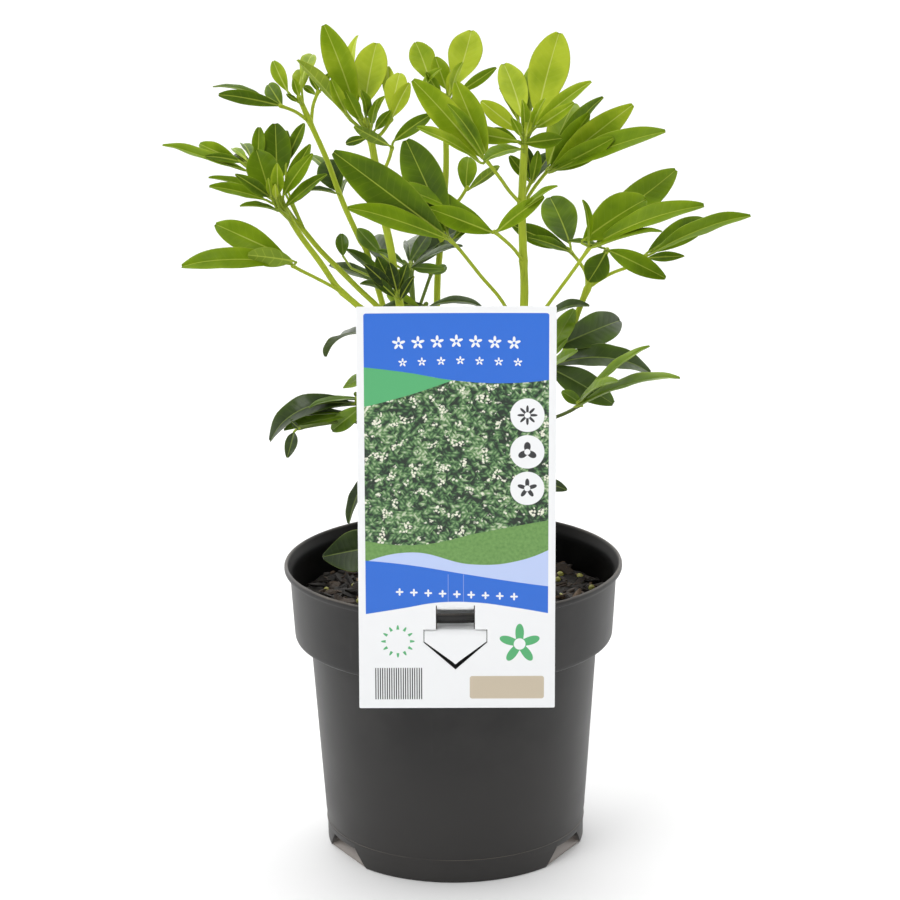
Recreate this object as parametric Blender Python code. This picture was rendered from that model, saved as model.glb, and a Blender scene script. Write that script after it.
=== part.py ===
"""Potted Mexican orange blossom: an evergreen leafy shrub in a black nursery pot with a hang label.

The scene is in metres, +Z up: the pot stands on Z = 0 with its axis on Z, and its label faces -Y.
Sizes below are in millimetres, and every mesh is scaled by MM as it is made.
The stems and leaflets are placed by where they show in a 900 x 900 picture of the plant taken
from the front, each at a depth (Y) of its own.
"""

import math
import random
from collections import namedtuple

import bmesh
import bpy
import numpy as np

MM = 0.001

# Pot: a thin moulded wall with a rolled lip, a deep collar and a tapered body
POT_HEIGHT = 121.2
LIP_RADIUS = 70.0
LIP_HEIGHT = 4.0
COLLAR_TOP_RADIUS = 67.6
COLLAR_FOOT_RADIUS = 66.1
COLLAR_FOOT = 89.6
BODY_TOP_RADIUS = 59.7
BODY_FOOT_RADIUS = 54.4
BODY_FOOT = 10.5
BASE_RADIUS = 54.0
WALL = 1.2
FLOOR = 1.6
POT_SIDES = 36

# Drainage notches in the foot: three, one of them straight behind. A ramp runs up from the
# pot's edge to a drain hole under the wall. Each profile is (radius, height), of the notch, of
# the block that it is cut into, of the room that the mix leaves for the block and of the drain.
# The sweep narrows by NOTCH_SLANT degrees for each mm of height.
NOTCH_CENTRES = (90.0, 210.0, 330.0)
NOTCH_SPREAD = 33.0
NOTCH_STEPS = 3
NOTCH_SLANT = 2.6
NOTCH_PROFILE = [(54.65, -0.6), (57.0, -0.6), (57.0, 7.0), (49.0, 7.0), (49.0, 4.6)]
BACKING_PROFILE = [(53.3, 1.0), (53.3, 8.6), (47.6, 8.6), (47.6, 1.0)]
BACKING_SPREAD = NOTCH_SPREAD + 4.0
ROOM_PROFILE = [(55.0, 0.0), (55.0, 9.0), (47.2, 9.0), (47.2, 0.0)]
ROOM_SPREAD = NOTCH_SPREAD + 6.2
DRAIN_PROFILE = [(46.5, 4.7), (50.0, 4.7), (50.0, 6.8), (46.5, 6.8)]
DRAIN_SPREAD = 13.0
SHARP_EDGE = math.radians(30.0)

# Slot through the collar under the lip, which the label's tongue comes out of
SLOT_CENTRE = 0.6
SLOT_WIDTH = 17.0
SLOT_FOOT = 112.2
SLOT_TOP = 116.6
SLOT_REACH = (-75.0, -55.0)

# Potting mix
MIX_TOP = 105.0
MIX_RINGS = (60.0, 47.0, 33.0, 17.0)
MIX_SIDES = 24
MIX_RELIEF = 1.6
MIX_SEED = 5
FIT_GAP = 0.3

# Label: a card that leans back a little, with its tongue bent over the lip. Heights are from its
# pivot at the lip. TONGUE_BEND is the tongue's middle line, (y, z), from the card round to the head.
CARD_WIDTH = 77.0
CARD_ABOVE = 124.6
CARD_BELOW = 35.6
CARD_THICKNESS = 0.7
CARD_PIVOT = (1.2, -70.85, 119.0)
CARD_LEAN = 4.0
CARD_TURN = 0.4
TONGUE_CENTRE = -0.6
TONGUE_WIDTH = 14.5
HEAD_WIDTH = 24.4
HEAD_TOP = -4.0
HEAD_SHOULDER = -8.6
HEAD_TIP = -17.7
CUT_GAP = 1.0
WINDOW_TOP = 6.0
TONGUE_BEND = [(0.0, 8.0), (0.0, 5.8), (1.2, 4.4), (3.4, 3.7), (5.6, 2.7), (6.7, 0.3), (6.5, -2.2),
               (4.8, -3.6), (2.6, -4.0), (1.0, -4.3), (0.0, -5.6), (0.0, -8.0)]
TONGUE_STEP = 1.6

# The picture's view: focal length and centre in pixels, tilt down, roll, and distance to its
# target. GROUND_ROW is the row that the middle of the mix's top shows at.
FOCAL = 3000.0
PICTURE_CENTRE = 450.0
GROUND_ROW = 597.0
VIEW_DOWN = math.radians(15.66)
VIEW_ROLL = math.radians(-0.55)
VIEW_TARGET = np.array((-0.87, 0.0, 168.5))
VIEW_DISTANCE = 1231.0
VIEW_AXIS = np.array((0.0, math.cos(VIEW_DOWN), -math.sin(VIEW_DOWN)))
VIEW_UP = np.array((0.0, math.sin(VIEW_DOWN), math.cos(VIEW_DOWN)))
VIEW_RIGHT = np.array((1.0, 0.0, 0.0))
VIEW_POINT = VIEW_TARGET - VIEW_DISTANCE * VIEW_AXIS

# Leaflets: length over width of one seen flat and of the narrowest, the longest one, the most that
# a tip lies behind its base as a share of the length that shows, how much further forward than its
# base a tip comes for each mm that the base is ahead, how far a blade bows up as a share of its
# length, how far its edges stand up as a share of its half width, and the places along it that
# hold a ring
SLENDER = 3.1
SLENDER_LIMIT = 3.6
LONGEST = 58.0
REACH_LIMIT = 0.9
SPREAD = 2.4
ARCH = 0.05
FOLD = 0.22
BLADE_THICKNESS = 1.3
BLADE_STATIONS = (0.25, 0.57, 0.86)
BLADE_SKEW = 1.14
BLADE_FULLNESS = 0.7

# Stalks: a leaflet's stalk leaves its carrier lower down by STALK_DROP of the gap between them,
# and starts SINK inside it. A leaf's stalk ends in a hub.
STALK_RADIUS = 0.7
SHORT_STALK = 3.0
STALK_DROP = 0.6
SINK = 0.4
LEAF_STALK_RADIUS = 0.9
LEAF_STALK_STEP = 8.0
HUB_RADIUS = 1.25
HUB_LENGTH = 1.0

# Stems: depth in the mix, share of the width left at the top and length of a straight run
ROOT_DEPTH = 12.0
STEM_TAPER = 0.72
STEM_STEP = 11.0
LEAST_VOLUME = 1.0

# A blade: tip and base in the picture, and width in pixels. ahead moves its base to the viewer
# in mm, reach sets how far its tip lies behind its base, under shows its pale underside, and
# arch is how far it bows up, as a share of its length.
Blade = namedtuple("Blade", "tip_x tip_y base_x base_y width ahead reach under arch",
                   defaults=(0.0, None, False, ARCH))
Leaf = namedtuple("Leaf", "route depth blades")
Stem = namedtuple("Stem", "name root top_depth width route tuft leaves")

UNDER = True

STEMS = (
    Stem("stem_left", (-17, -12), -12, 3.3,
         [(284, 208), (300, 235), (320, 262), (338, 288), (358, 306), (392, 400)],
         [Blade(161, 142, 245, 170, 9), Blade(198, 143, 240, 160, 14), Blade(204, 156, 245, 163, 8),
          Blade(256, 149, 270, 190, 30), Blade(277, 163, 278, 195, 12, 3),
          Blade(311, 143, 284, 190, 14),
          Blade(313, 153, 283, 194, 14, 4), Blade(207, 177, 265, 195, 7, 2),
          Blade(208, 186, 268, 200, 10, 4), Blade(235, 174, 270, 195, 12, 6),
          Blade(239, 206, 280, 211, 6, 7), Blade(327, 173, 284, 208, 11, 3)],
         [Leaf([(341, 292), (320, 280), (300, 270), (293, 266)], -24,
               [Blade(180, 265, 290, 257, 25, 1), Blade(214, 224, 282, 247, 26, -2),
                Blade(248, 257, 292, 263, 18, 5)])]),
    Stem("stem_inner_left", (-19, 3), 14, 3.0,
         [(287, 213), (300, 226), (320, 250), (340, 270), (360, 290), (377, 306), (402, 400)],
         [Blade(259, 126, 268, 165, 9, 0, 6), Blade(275, 122, 277, 185, 30, 0, 8),
          Blade(305, 122, 286, 165, 12, 0, 12)],
         []),
    Stem("stem_upper_left", (-12, 20), 40, 3.1,
         [(299, 97), (309, 120), (327, 160), (338, 190), (347, 212), (360, 240), (370, 262), (400, 380)],
         [Blade(273, 60, 288, 92, 14), Blade(304, 68, 298, 94, 16, -3), Blade(313, 53, 302, 80, 15, -5),
          Blade(326, 160, 339, 192, 26), Blade(310, 155, 330, 174, 10, -6),
          Blade(347, 178, 341, 196, 8, -4)],
         [Leaf([(309, 122), (296, 112), (281, 106)], 34,
               [Blade(217, 94, 281, 106, 14), Blade(212, 86, 262, 96, 6, -4),
                Blade(268, 84, 282, 106, 16, -2)]),
          Leaf([(311, 124), (313, 106), (318, 92)], 46,
               [Blade(303, 86, 316, 95, 7), Blade(309, 76, 319, 92, 6), Blade(330, 72, 320, 92, 7)]),
          Leaf([(392, 352), (400, 338), (412, 330)], 58,
               [Blade(452, 318, 414, 329, 17), Blade(430, 354, 413, 333, 15),
                Blade(400, 312, 411, 328, 9, -3)])]),
    Stem("stem_thick", (-7, -3), 4, 4.0,
         [(366, 120), (372, 145), (378, 180), (384, 217), (391, 250), (398, 295), (424, 440)],
         [Blade(323, 23, 355, 108, 28), Blade(377, 41, 365, 105, 33),
          Blade(296, 58, 350, 120, 12, 3, None, UNDER),
          Blade(331, 79, 346, 112, 12, 5), Blade(357, 33, 350, 100, 12, -8),
          Blade(345, 90, 360, 120, 14, 6), Blade(361, 90, 366, 118, 8, 7),
          Blade(377, 101, 372, 125, 8, 7), Blade(391, 110, 375, 130, 10, 5),
          Blade(345, 144, 367, 138, 8, -4), Blade(353, 127, 374, 150, 11, 4)],
         [Leaf([(372, 140), (381, 134), (391, 120)], -2,
               [Blade(400, 72, 391, 114, 22), Blade(410, 82, 392, 118, 15, 3),
                Blade(388, 65, 392, 110, 13, -7)]),
          Leaf([(374, 156), (384, 155), (391, 150)], -8,
               [Blade(432, 114, 393, 141, 14)]),
          Leaf([(414, 400), (400, 386), (389, 380)], 8,
               [Blade(364, 424, 387, 383, 16, 2), Blade(366, 352, 387, 378, 13)])]),
    Stem("stem_centre", (4, 24), 44, 3.4,
         [(445, 96), (446, 140), (446, 170), (444, 200), (440, 250), (437, 300), (438, 440)],
         [Blade(415, 41, 430, 82, 25), Blade(472, 28, 455, 86, 33), Blade(435, 56, 447, 90, 18, 4),
          Blade(441, 68, 420, 92, 7, 5), Blade(497, 67, 460, 92, 11, 3), Blade(462, 62, 452, 92, 9, 6)],
         [Leaf([(445, 206), (457, 202), (467, 188)], 36,
               [Blade(469, 158, 466, 190, 14), Blade(500, 165, 468, 190, 8, 3, None, UNDER)]),
          Leaf([(438, 376), (448, 360), (460, 350)], 62,
               [Blade(512, 330, 462, 349, 20), Blade(496, 374, 462, 352, 17),
                Blade(470, 316, 460, 348, 12, -3)])]),
    Stem("stem_tall", (8, -14), -30, 4.6,
         [(525, 135), (522, 200), (523, 250), (524, 306), (516, 400), (498, 500)],
         [Blade(560, 30, 537, 118, 40, -6), Blade(503, 62, 522, 118, 27, -2),
          Blade(480, 100, 520, 132, 18, 2),
          Blade(457, 131, 517, 143, 14, 2), Blade(563, 136, 530, 146, 15, 4),
          Blade(485, 160, 521, 151, 13, 8), Blade(592, 80, 535, 125, 13, 2),
          Blade(573, 102, 535, 128, 10, 5),
          Blade(545, 98, 532, 128, 8, 6), Blade(523, 100, 524, 130, 8, 5), Blade(499, 87, 520, 124, 8, -6)],
         [Leaf([(522, 204), (510, 192), (500, 178), (486, 160)], -44,
               [Blade(411, 78, 482, 158, 28), Blade(455, 80, 487, 156, 27, 1),
                Blade(415, 127, 481, 163, 11, 5)]),
          Leaf([(523, 206), (534, 188), (548, 170)], -14,
               [Blade(576, 100, 548, 166, 30, -4), Blade(604, 95, 551, 166, 14, 0),
                Blade(635, 103, 552, 168, 24, 3),
                Blade(615, 137, 551, 170, 20, 6), Blade(668, 130, 552, 172, 18, 8)]),
          Leaf([(522, 200), (527, 190), (531, 182)], -22,
               [Blade(509, 155, 530, 182, 8), Blade(528, 148, 531, 180, 9, -2),
                Blade(538, 152, 532, 182, 8, 2)]),
          Leaf([(524, 262), (512, 247), (495, 232)], -42,
               [Blade(382, 182, 493, 232, 18, -4), Blade(428, 208, 493, 233, 22, 0),
                Blade(545, 196, 497, 232, 16, 3),
                Blade(558, 185, 520, 212, 6, 5)]),
          Leaf([(520, 350), (505, 306), (480, 275), (460, 250), (449, 239)], -44,
               [Blade(331, 150, 446, 236, 40, 2), Blade(405, 138, 448, 234, 38, -3),
                Blade(346, 206, 446, 239, 21, 5),
                Blade(470, 222, 452, 240, 8, -2)]),
          Leaf([(520, 352), (536, 322), (550, 302), (570, 275), (590, 247)], -46,
               [Blade(648, 198, 584, 240, 39, -2), Blade(678, 168, 590, 233, 31, -7),
                Blade(707, 205, 594, 245, 19, 2),
                Blade(663, 229, 594, 247, 8, 4), Blade(583, 199, 589, 243, 7, 3)]),
          Leaf([(512, 426), (494, 416), (478, 412)], 4,
               [Blade(440, 396, 475, 412, 16), Blade(462, 448, 476, 415, 14, 2)])]),
    Stem("stem_right", (17, 4), 0, 3.4,
         [(607, 250), (590, 283), (577, 315), (568, 345), (556, 370), (540, 430), (524, 500)],
         [Blade(667, 279, 608, 250, 20, 6, -16), Blade(588, 282, 606, 252, 25, 9)],
         [Leaf([(588, 288), (610, 274), (630, 266), (645, 256)], 8,
               [Blade(709, 220, 647, 253, 24, -3), Blade(753, 214, 649, 255, 15, 0),
                Blade(685, 256, 647, 258, 10, 4)]),
          Leaf([(588, 290), (586, 274), (580, 263), (571, 252)], 16,
               [Blade(549, 195, 570, 244, 33, -3), Blade(510, 224, 568, 248, 19, 0),
                Blade(528, 237, 570, 252, 10, 4)])]),
    Stem("shoot_low_left", (-27, -8), -20, 2.8,
         [(366, 366), (366, 400), (370, 450), (380, 520)],
         [Blade(325, 354, 366, 342, 6, -8, arch=0.2), Blade(343, 388, 364, 374, 11, 3),
          Blade(307, 406, 362, 400, 7, 0, arch=0.1),
          Blade(305, 413, 364, 404, 7, 4), Blade(288, 419, 364, 417, 8, 8),
          Blade(333, 436, 366, 412, 20, 12),
          Blade(348, 525, 370, 470, 11, 4)],
         [Leaf([(366, 402), (361, 396), (356, 394)], -26,
               [Blade(268, 442, 354, 404, 21, arch=0.24), Blade(281, 431, 352, 408, 13, 8, arch=0.12)]),
          Leaf([(366, 424), (352, 420), (330, 424), (312, 428)], -46,
               [Blade(288, 458, 300, 432, 13, arch=0.15), Blade(296, 424, 312, 428, 8, 2)]),
          Leaf([(374, 490), (376, 520), (381, 545)], -34,
               [Blade(322, 557, 380, 546, 40, 0, -28)])]),
    Stem("shoot_low_right", (26, -10), -14, 3.0,
         [(548, 352), (546, 368), (542, 400), (534, 440), (528, 500)],
         [Blade(575, 308, 549, 352, 19, 3), Blade(568, 338, 551, 357, 8, 4),
          Blade(577, 350, 552, 365, 8, 7),
          Blade(590, 305, 546, 322, 9, 4, arch=0.15),
          Blade(621, 320, 556, 347, 32, 2, arch=0.12), Blade(653, 373, 551, 366, 23, 0, arch=0.17),
          Blade(615, 405, 550, 368, 28, 10, arch=0.12)],
         [Leaf([(540, 424), (556, 417), (570, 411), (578, 406)], -34,
               [Blade(680, 375, 578, 405, 16, 0), Blade(648, 346, 580, 400, 18, -3),
                Blade(562, 390, 578, 405, 14, 2),
                Blade(618, 380, 580, 403, 7, 4)]),
          Leaf([(533, 450), (538, 470), (542, 482)], -34,
               [Blade(567, 490, 542, 482, 12, 0)])]),
    Stem("shoot_low_middle", (-3, 12), 18, 2.8,
         [(404, 262), (411, 272), (413, 300), (424, 360), (440, 460)],
         [Blade(377, 250, 406, 266, 6, 4), Blade(357, 228, 381, 254, 14, 2),
          Blade(430, 232, 408, 262, 13, -2),
          Blade(463, 244, 410, 268, 6, 3), Blade(410, 238, 408, 264, 12, -8)],
         [Leaf([(412, 292), (398, 284), (384, 282)], 20,
               [Blade(346, 249, 384, 281, 9), Blade(328, 264, 382, 284, 10, -5),
                Blade(341, 233, 343, 256, 13, -8, 4)]),
          Leaf([(415, 316), (424, 294), (431, 274)], 24,
               [Blade(412, 264, 429, 273, 8, 1), Blade(447, 266, 431, 274, 9, 0)]),
          Leaf([(416, 322), (420, 310), (426, 304)], 10,
               [Blade(484, 307, 428, 307, 8, 0, arch=0.12), Blade(382, 307, 424, 305, 10, 0)])]),
)

# A shoot on the hidden side, placed by rule: pairs of leaves up a leaning stem
BACK_ROOT = (3.0, 40.0)
BACK_TOP = (1.0, 60.0, 170.0)
BACK_WIDTH = 3.0
BACK_PAIRS = 3
BACK_LEAFLETS = (32.0, 41.0)
BACK_SIDE_SHARE = 0.75
BACK_FAN = 0.9
BACK_STALK = 11.0
BACK_STEP = 9.0
BACK_SEED = 8


def seen(x, y, depth):
    """The point at a depth (Y) that shows at a pixel of the picture."""
    across, down = x - PICTURE_CENTRE, y - PICTURE_CENTRE
    level_x = math.cos(VIEW_ROLL) * across + math.sin(VIEW_ROLL) * down
    level_y = -math.sin(VIEW_ROLL) * across + math.cos(VIEW_ROLL) * down
    ray = VIEW_AXIS + VIEW_RIGHT * level_x / FOCAL - VIEW_UP * level_y / FOCAL
    return VIEW_POINT + ray * ((depth - VIEW_POINT[1]) / ray[1])


def unit(vector):
    return vector / np.linalg.norm(vector)


def mesh_object(name, points, faces):
    """An object of a closed mesh, turned right side out by the sign of its volume."""
    points = np.asarray(points)
    fans = [(face[0], face[i], face[i + 1]) for face in faces for i in range(1, len(face) - 1)]
    if np.linalg.det(points[np.array(fans)]).sum() < 0:
        faces = [face[::-1] for face in faces]
    mesh = bpy.data.meshes.new(name)
    mesh.from_pydata((points * MM).tolist(), [], faces)
    made = bpy.data.objects.new(name, mesh)
    bpy.context.scene.collection.objects.link(made)
    return made


def paint(made, colour, roughness):
    material = bpy.data.materials.new(made.name)
    material.use_nodes = True
    shader = material.node_tree.nodes["Principled BSDF"]
    shader.inputs["Base Color"].default_value = (*colour, 1.0)
    shader.inputs["Roughness"].default_value = roughness
    made.data.materials.clear()
    made.data.materials.append(material)


def loft(name, rings, peak=None):
    """A closed body through rings of points that all have the same count. It ends flat, or at a peak."""
    rings = np.asarray(rings)
    count, sides = rings.shape[:2]
    last = [(count - 1) * sides + i for i in range(sides)]
    points = rings.reshape(-1, 3)
    faces = [list(range(sides))[::-1]]
    if peak is None:
        faces.append(last)
    else:
        faces += [[last[i], last[(i + 1) % sides], len(points)] for i in range(sides)]
        points = np.vstack((points, peak))
    for row in range(count - 1):
        for i in range(sides):
            a, b = row * sides + i, row * sides + (i + 1) % sides
            faces.append([a, b, b + sides, a + sides])
    return mesh_object(name, points, faces)


def tube(name, route, radii, sides):
    """A round bar along a route: each ring stands square to the route where it lies."""
    route = np.asarray(route, float)
    along = np.gradient(route, axis=0)
    rings = []
    side = unit(np.cross(along[0], (0.3, 1.0, 0.1)))
    turns = np.arange(sides) * 2 * math.pi / sides
    for point, heading, radius in zip(route, along, radii):
        heading = unit(heading)
        side = unit(side - heading * (side @ heading))
        up = np.cross(heading, side)
        rings.append([point + radius * (math.cos(t) * side + math.sin(t) * up) for t in turns])
    return loft(name, rings)


def smooth_route(points, step):
    """A Catmull-Rom curve through the points, read about every step mm."""
    points = np.asarray(points, float)
    ends = np.vstack((2 * points[0] - points[1], points, 2 * points[-1] - points[-2]))
    read = []
    for i in range(len(points) - 1):
        before, start, end, after = ends[i:i + 4]
        pieces = max(1, round(np.linalg.norm(end - start) / step))
        for t in np.arange(pieces) / pieces:
            read.append(start + 0.5 * t * (end - before + t * (
                2 * before - 5 * start + 4 * end - after + t * (3 * (start - end) + after - before))))
    read.append(points[-1])
    return np.array(read)


def fuse(name, pieces):
    """One body of all the pieces, which are removed."""
    core, rest = pieces[0], pieces[1:]
    helpers = bpy.data.collections.new(name + "_pieces")
    bpy.context.scene.collection.children.link(helpers)
    for piece in rest:
        bpy.context.scene.collection.objects.unlink(piece)
        helpers.objects.link(piece)
    join = core.modifiers.new("Join", "BOOLEAN")
    join.operation = "UNION"
    join.solver = "EXACT"
    join.operand_type = "COLLECTION"
    join.collection = helpers
    graph = bpy.context.evaluated_depsgraph_get()
    mesh = bpy.data.meshes.new_from_object(core.evaluated_get(graph))
    for piece in (core, *rest):
        bpy.data.objects.remove(piece)
    bpy.data.collections.remove(helpers)
    drop_scraps(mesh)
    made = bpy.data.objects.new(name, mesh)
    bpy.context.scene.collection.objects.link(made)
    return made


def drop_scraps(mesh):
    """Removes each loose shell of under LEAST_VOLUME, which a union leaves where blades graze."""
    shape = bmesh.new()
    shape.from_mesh(mesh)
    waiting = set(shape.verts)
    while waiting:
        shell, edge = set(), {waiting.pop()}
        while edge:
            shell |= edge
            edge = {e.other_vert(v) for v in edge for e in v.link_edges} - shell
        waiting -= shell
        faces = {face for v in shell for face in v.link_faces}
        fans = [[v.co for v in face.verts] for face in faces]
        volume = sum(fan[0].dot(fan[i].cross(fan[i + 1])) / 6
                     for fan in fans for i in range(1, len(fan) - 1))
        if abs(volume) < LEAST_VOLUME * MM ** 3:
            bmesh.ops.delete(shape, geom=list(shell), context="VERTS")
    shape.to_mesh(mesh)
    shape.free()


def cut(made, cutters, name):
    """Cuts the cutters out of a body by a live Boolean. They stay as hidden helpers."""
    helpers = bpy.data.collections.new(name)
    bpy.context.scene.collection.children.link(helpers)
    for cutter in cutters:
        bpy.context.scene.collection.objects.unlink(cutter)
        helpers.objects.link(cutter)
        cutter.hide_render = True
        cutter.display_type = "WIRE"
    boolean = made.modifiers.new(name, "BOOLEAN")
    boolean.operation = "DIFFERENCE"
    boolean.solver = "EXACT"
    boolean.operand_type = "COLLECTION"
    boolean.collection = helpers


def box(name, low, high):
    x0, y0, z0 = low
    x1, y1, z1 = high
    foot = [(x0, y0, z0), (x1, y0, z0), (x1, y1, z0), (x0, y1, z0)]
    return loft(name, [foot, [(x, y, z1) for x, y, _ in foot]])


def sector(name, profile, middle, spread, slant=0.0):
    """A profile of (radius, height) swept about Z. Each mm of height narrows it by slant degrees."""
    rings = []
    for step in np.linspace(-0.5, 0.5, NOTCH_STEPS + 1):
        ring = []
        for radius, height in profile:
            turn = math.radians(middle + step * (spread - slant * max(height, 0.0)))
            ring.append((radius * math.cos(turn), radius * math.sin(turn), height))
        rings.append(ring)
    return loft(name, rings)


def turned(name, profile, sides):
    """A closed body turned from a profile whose first and last points lie on the axis."""
    points = [(0.0, 0.0, profile[0][1])]
    turns = np.arange(sides) * 2 * math.pi / sides
    for radius, height in profile[1:-1]:
        points += [(radius * math.cos(t), radius * math.sin(t), height) for t in turns]
    points.append((0.0, 0.0, profile[-1][1]))
    rows, last = len(profile) - 2, len(points) - 1
    faces = []
    for i in range(sides):
        j = (i + 1) % sides
        faces.append([0, 1 + j, 1 + i])
        for row in range(rows - 1):
            a, b = 1 + row * sides + i, 1 + row * sides + j
            faces.append([a, b, b + sides, a + sides])
        top = 1 + (rows - 1) * sides
        faces.append([top + i, top + j, last])
    return mesh_object(name, points, faces)


def inner_profile(gap=0.0):
    """The cavity of the pot from the floor up, (radius, height), moved inwards by a gap."""
    shift = WALL + gap
    return [
        (BASE_RADIUS - shift - 1.5, FLOOR + gap),
        (BASE_RADIUS - shift, FLOOR + gap + 1.5),
        (BODY_FOOT_RADIUS - shift, BODY_FOOT),
        (BODY_TOP_RADIUS - shift, COLLAR_FOOT + 2.5),
        (COLLAR_FOOT_RADIUS - shift, COLLAR_FOOT + 4.0),
        (COLLAR_TOP_RADIUS - shift, POT_HEIGHT - LIP_HEIGHT),
    ]


def make_pot():
    """A turned shell with a block behind each notch. Notches, drains and slot are cut by a Boolean."""
    outer = [
        (0.0, 0.0),
        (BASE_RADIUS - 0.8, 0.0),
        (BASE_RADIUS, 0.8),
        (BODY_FOOT_RADIUS - 0.3, BODY_FOOT - 1.0),
        (BODY_FOOT_RADIUS, BODY_FOOT),
        (BODY_TOP_RADIUS, COLLAR_FOOT - 0.2),
        (COLLAR_FOOT_RADIUS - 1.2, COLLAR_FOOT),
        (COLLAR_FOOT_RADIUS, COLLAR_FOOT + 1.4),
        (COLLAR_TOP_RADIUS, POT_HEIGHT - LIP_HEIGHT - 0.4),
        (LIP_RADIUS - 0.9, POT_HEIGHT - LIP_HEIGHT),
        (LIP_RADIUS, POT_HEIGHT - LIP_HEIGHT + 1.2),
        (LIP_RADIUS, POT_HEIGHT - 1.4),
        (LIP_RADIUS - 1.4, POT_HEIGHT),
        (COLLAR_TOP_RADIUS - WALL + 0.6, POT_HEIGHT),
        (COLLAR_TOP_RADIUS - WALL, POT_HEIGHT - 0.8),
    ]
    shell = turned("shell", outer + inner_profile()[::-1] + [(0.0, FLOOR)], POT_SIDES)
    backings = [sector("backing", BACKING_PROFILE, c, BACKING_SPREAD, NOTCH_SLANT) for c in NOTCH_CENTRES]
    pot = fuse("pot", [shell] + backings)
    cutters = [sector("notch_cutter", NOTCH_PROFILE, c, NOTCH_SPREAD, NOTCH_SLANT) for c in NOTCH_CENTRES]
    cutters += [sector("drain_cutter", DRAIN_PROFILE, c, DRAIN_SPREAD) for c in NOTCH_CENTRES]
    half = SLOT_WIDTH / 2
    cutters.append(box("slot_cutter", (SLOT_CENTRE - half, SLOT_REACH[0], SLOT_FOOT),
                       (SLOT_CENTRE + half, SLOT_REACH[1], SLOT_TOP)))
    cut(pot, cutters, "Pot cutters")
    pot.data.shade_smooth()
    pot.data.set_sharp_from_angle(angle=SHARP_EDGE)
    paint(pot, (0.055, 0.052, 0.050), 0.48)
    return pot


def make_mix(routes):
    """The mix fills the pot, with a lumpy top. Each stem has a hole of its own in it."""
    draw = random.Random(MIX_SEED)
    cavity = inner_profile(FIT_GAP)
    wall_top = np.interp(MIX_TOP, [h for _, h in cavity], [r for r, _ in cavity])
    profile = [(0.0, FLOOR + FIT_GAP)] + cavity[:-1] + [(wall_top, MIX_TOP - 0.5)]
    first_ring = len(profile) - 1
    profile += [(radius, MIX_TOP) for radius in MIX_RINGS] + [(0.0, MIX_TOP)]
    mix = turned("potting_mix", profile, MIX_SIDES)
    for vertex in list(mix.data.vertices)[1 + first_ring * MIX_SIDES:]:
        vertex.co.z += draw.uniform(-MIX_RELIEF, MIX_RELIEF) * MM
    cutters = []
    for width, route in routes:
        below = route[0] + unit(route[0] - route[1]) * 2 * FIT_GAP
        radius = width / 2 + FIT_GAP
        cutters.append(tube("stem_hole", np.vstack((below, route[:3])), [radius] * 4, 8))
    cutters += [sector("notch_room", ROOM_PROFILE, c, ROOM_SPREAD, NOTCH_SLANT) for c in NOTCH_CENTRES]
    cut(mix, cutters, "Mix cutters")
    mix.data.shade_smooth()
    paint(mix, (0.060, 0.035, 0.020), 0.95)
    return mix


def make_label():
    """The card, cut round its tongue. The tongue bends over the lip, down behind it and out of the slot."""
    back, front = CARD_THICKNESS / 2, -CARD_THICKNESS / 2

    def plate(name, outline, thin=0.0):
        ring = [(x, front + thin, z) for x, z in outline]
        return loft(name, [ring, [(x, back - thin, z) for x, z in outline]])

    half = CARD_WIDTH / 2
    left, right = TONGUE_CENTRE - TONGUE_WIDTH / 2, TONGUE_CENTRE + TONGUE_WIDTH / 2
    card = plate("card", [(-half, -CARD_BELOW), (half, -CARD_BELOW),
                          (half, CARD_ABOVE), (-half, CARD_ABOVE)])
    head_half = HEAD_WIDTH / 2
    head = [(TONGUE_CENTRE - head_half, HEAD_TOP), (TONGUE_CENTRE - head_half, HEAD_SHOULDER),
            (TONGUE_CENTRE, HEAD_TIP), (TONGUE_CENTRE + head_half, HEAD_SHOULDER),
            (TONGUE_CENTRE + head_half, HEAD_TOP)]
    opening = [(left - 0.5, WINDOW_TOP), (left - 0.5, HEAD_TOP + CUT_GAP),
               (TONGUE_CENTRE - head_half - CUT_GAP, HEAD_TOP + CUT_GAP),
               (TONGUE_CENTRE - head_half - CUT_GAP, HEAD_SHOULDER - 0.4),
               (TONGUE_CENTRE, HEAD_TIP - 1.6 * CUT_GAP),
               (TONGUE_CENTRE + head_half + CUT_GAP, HEAD_SHOULDER - 0.4),
               (TONGUE_CENTRE + head_half + CUT_GAP, HEAD_TOP + CUT_GAP),
               (right + 0.5, HEAD_TOP + CUT_GAP), (right + 0.5, WINDOW_TOP)]
    window = loft("window", [[(x, y, z) for x, z in opening] for y in (-3.0, 3.0)])
    window.hide_render = True
    window.display_type = "WIRE"
    slit = card.modifiers.new("Window", "BOOLEAN")
    slit.solver = "EXACT"
    slit.object = window
    bend = smooth_route(TONGUE_BEND, TONGUE_STEP)
    ahead = np.gradient(bend, axis=0)
    across = np.stack((-ahead[:, 1], ahead[:, 0]), axis=1)
    across *= (CARD_THICKNESS / 2 - 0.01) / np.linalg.norm(across, axis=1)[:, None]
    one, other = bend + across, bend - across
    tongue = loft("tongue", [[(left, *a), (right, *a), (right, *b), (left, *b)]
                             for a, b in zip(one, other)])
    label = fuse("label", [card, tongue, plate("head", head, 0.02)])
    bpy.data.objects.remove(window)
    label.location = [c * MM for c in CARD_PIVOT]
    label.rotation_euler = (math.radians(-CARD_LEAN), math.radians(CARD_TURN), 0.0)
    paint(label, (0.86, 0.87, 0.88), 0.42)
    return label


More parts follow.
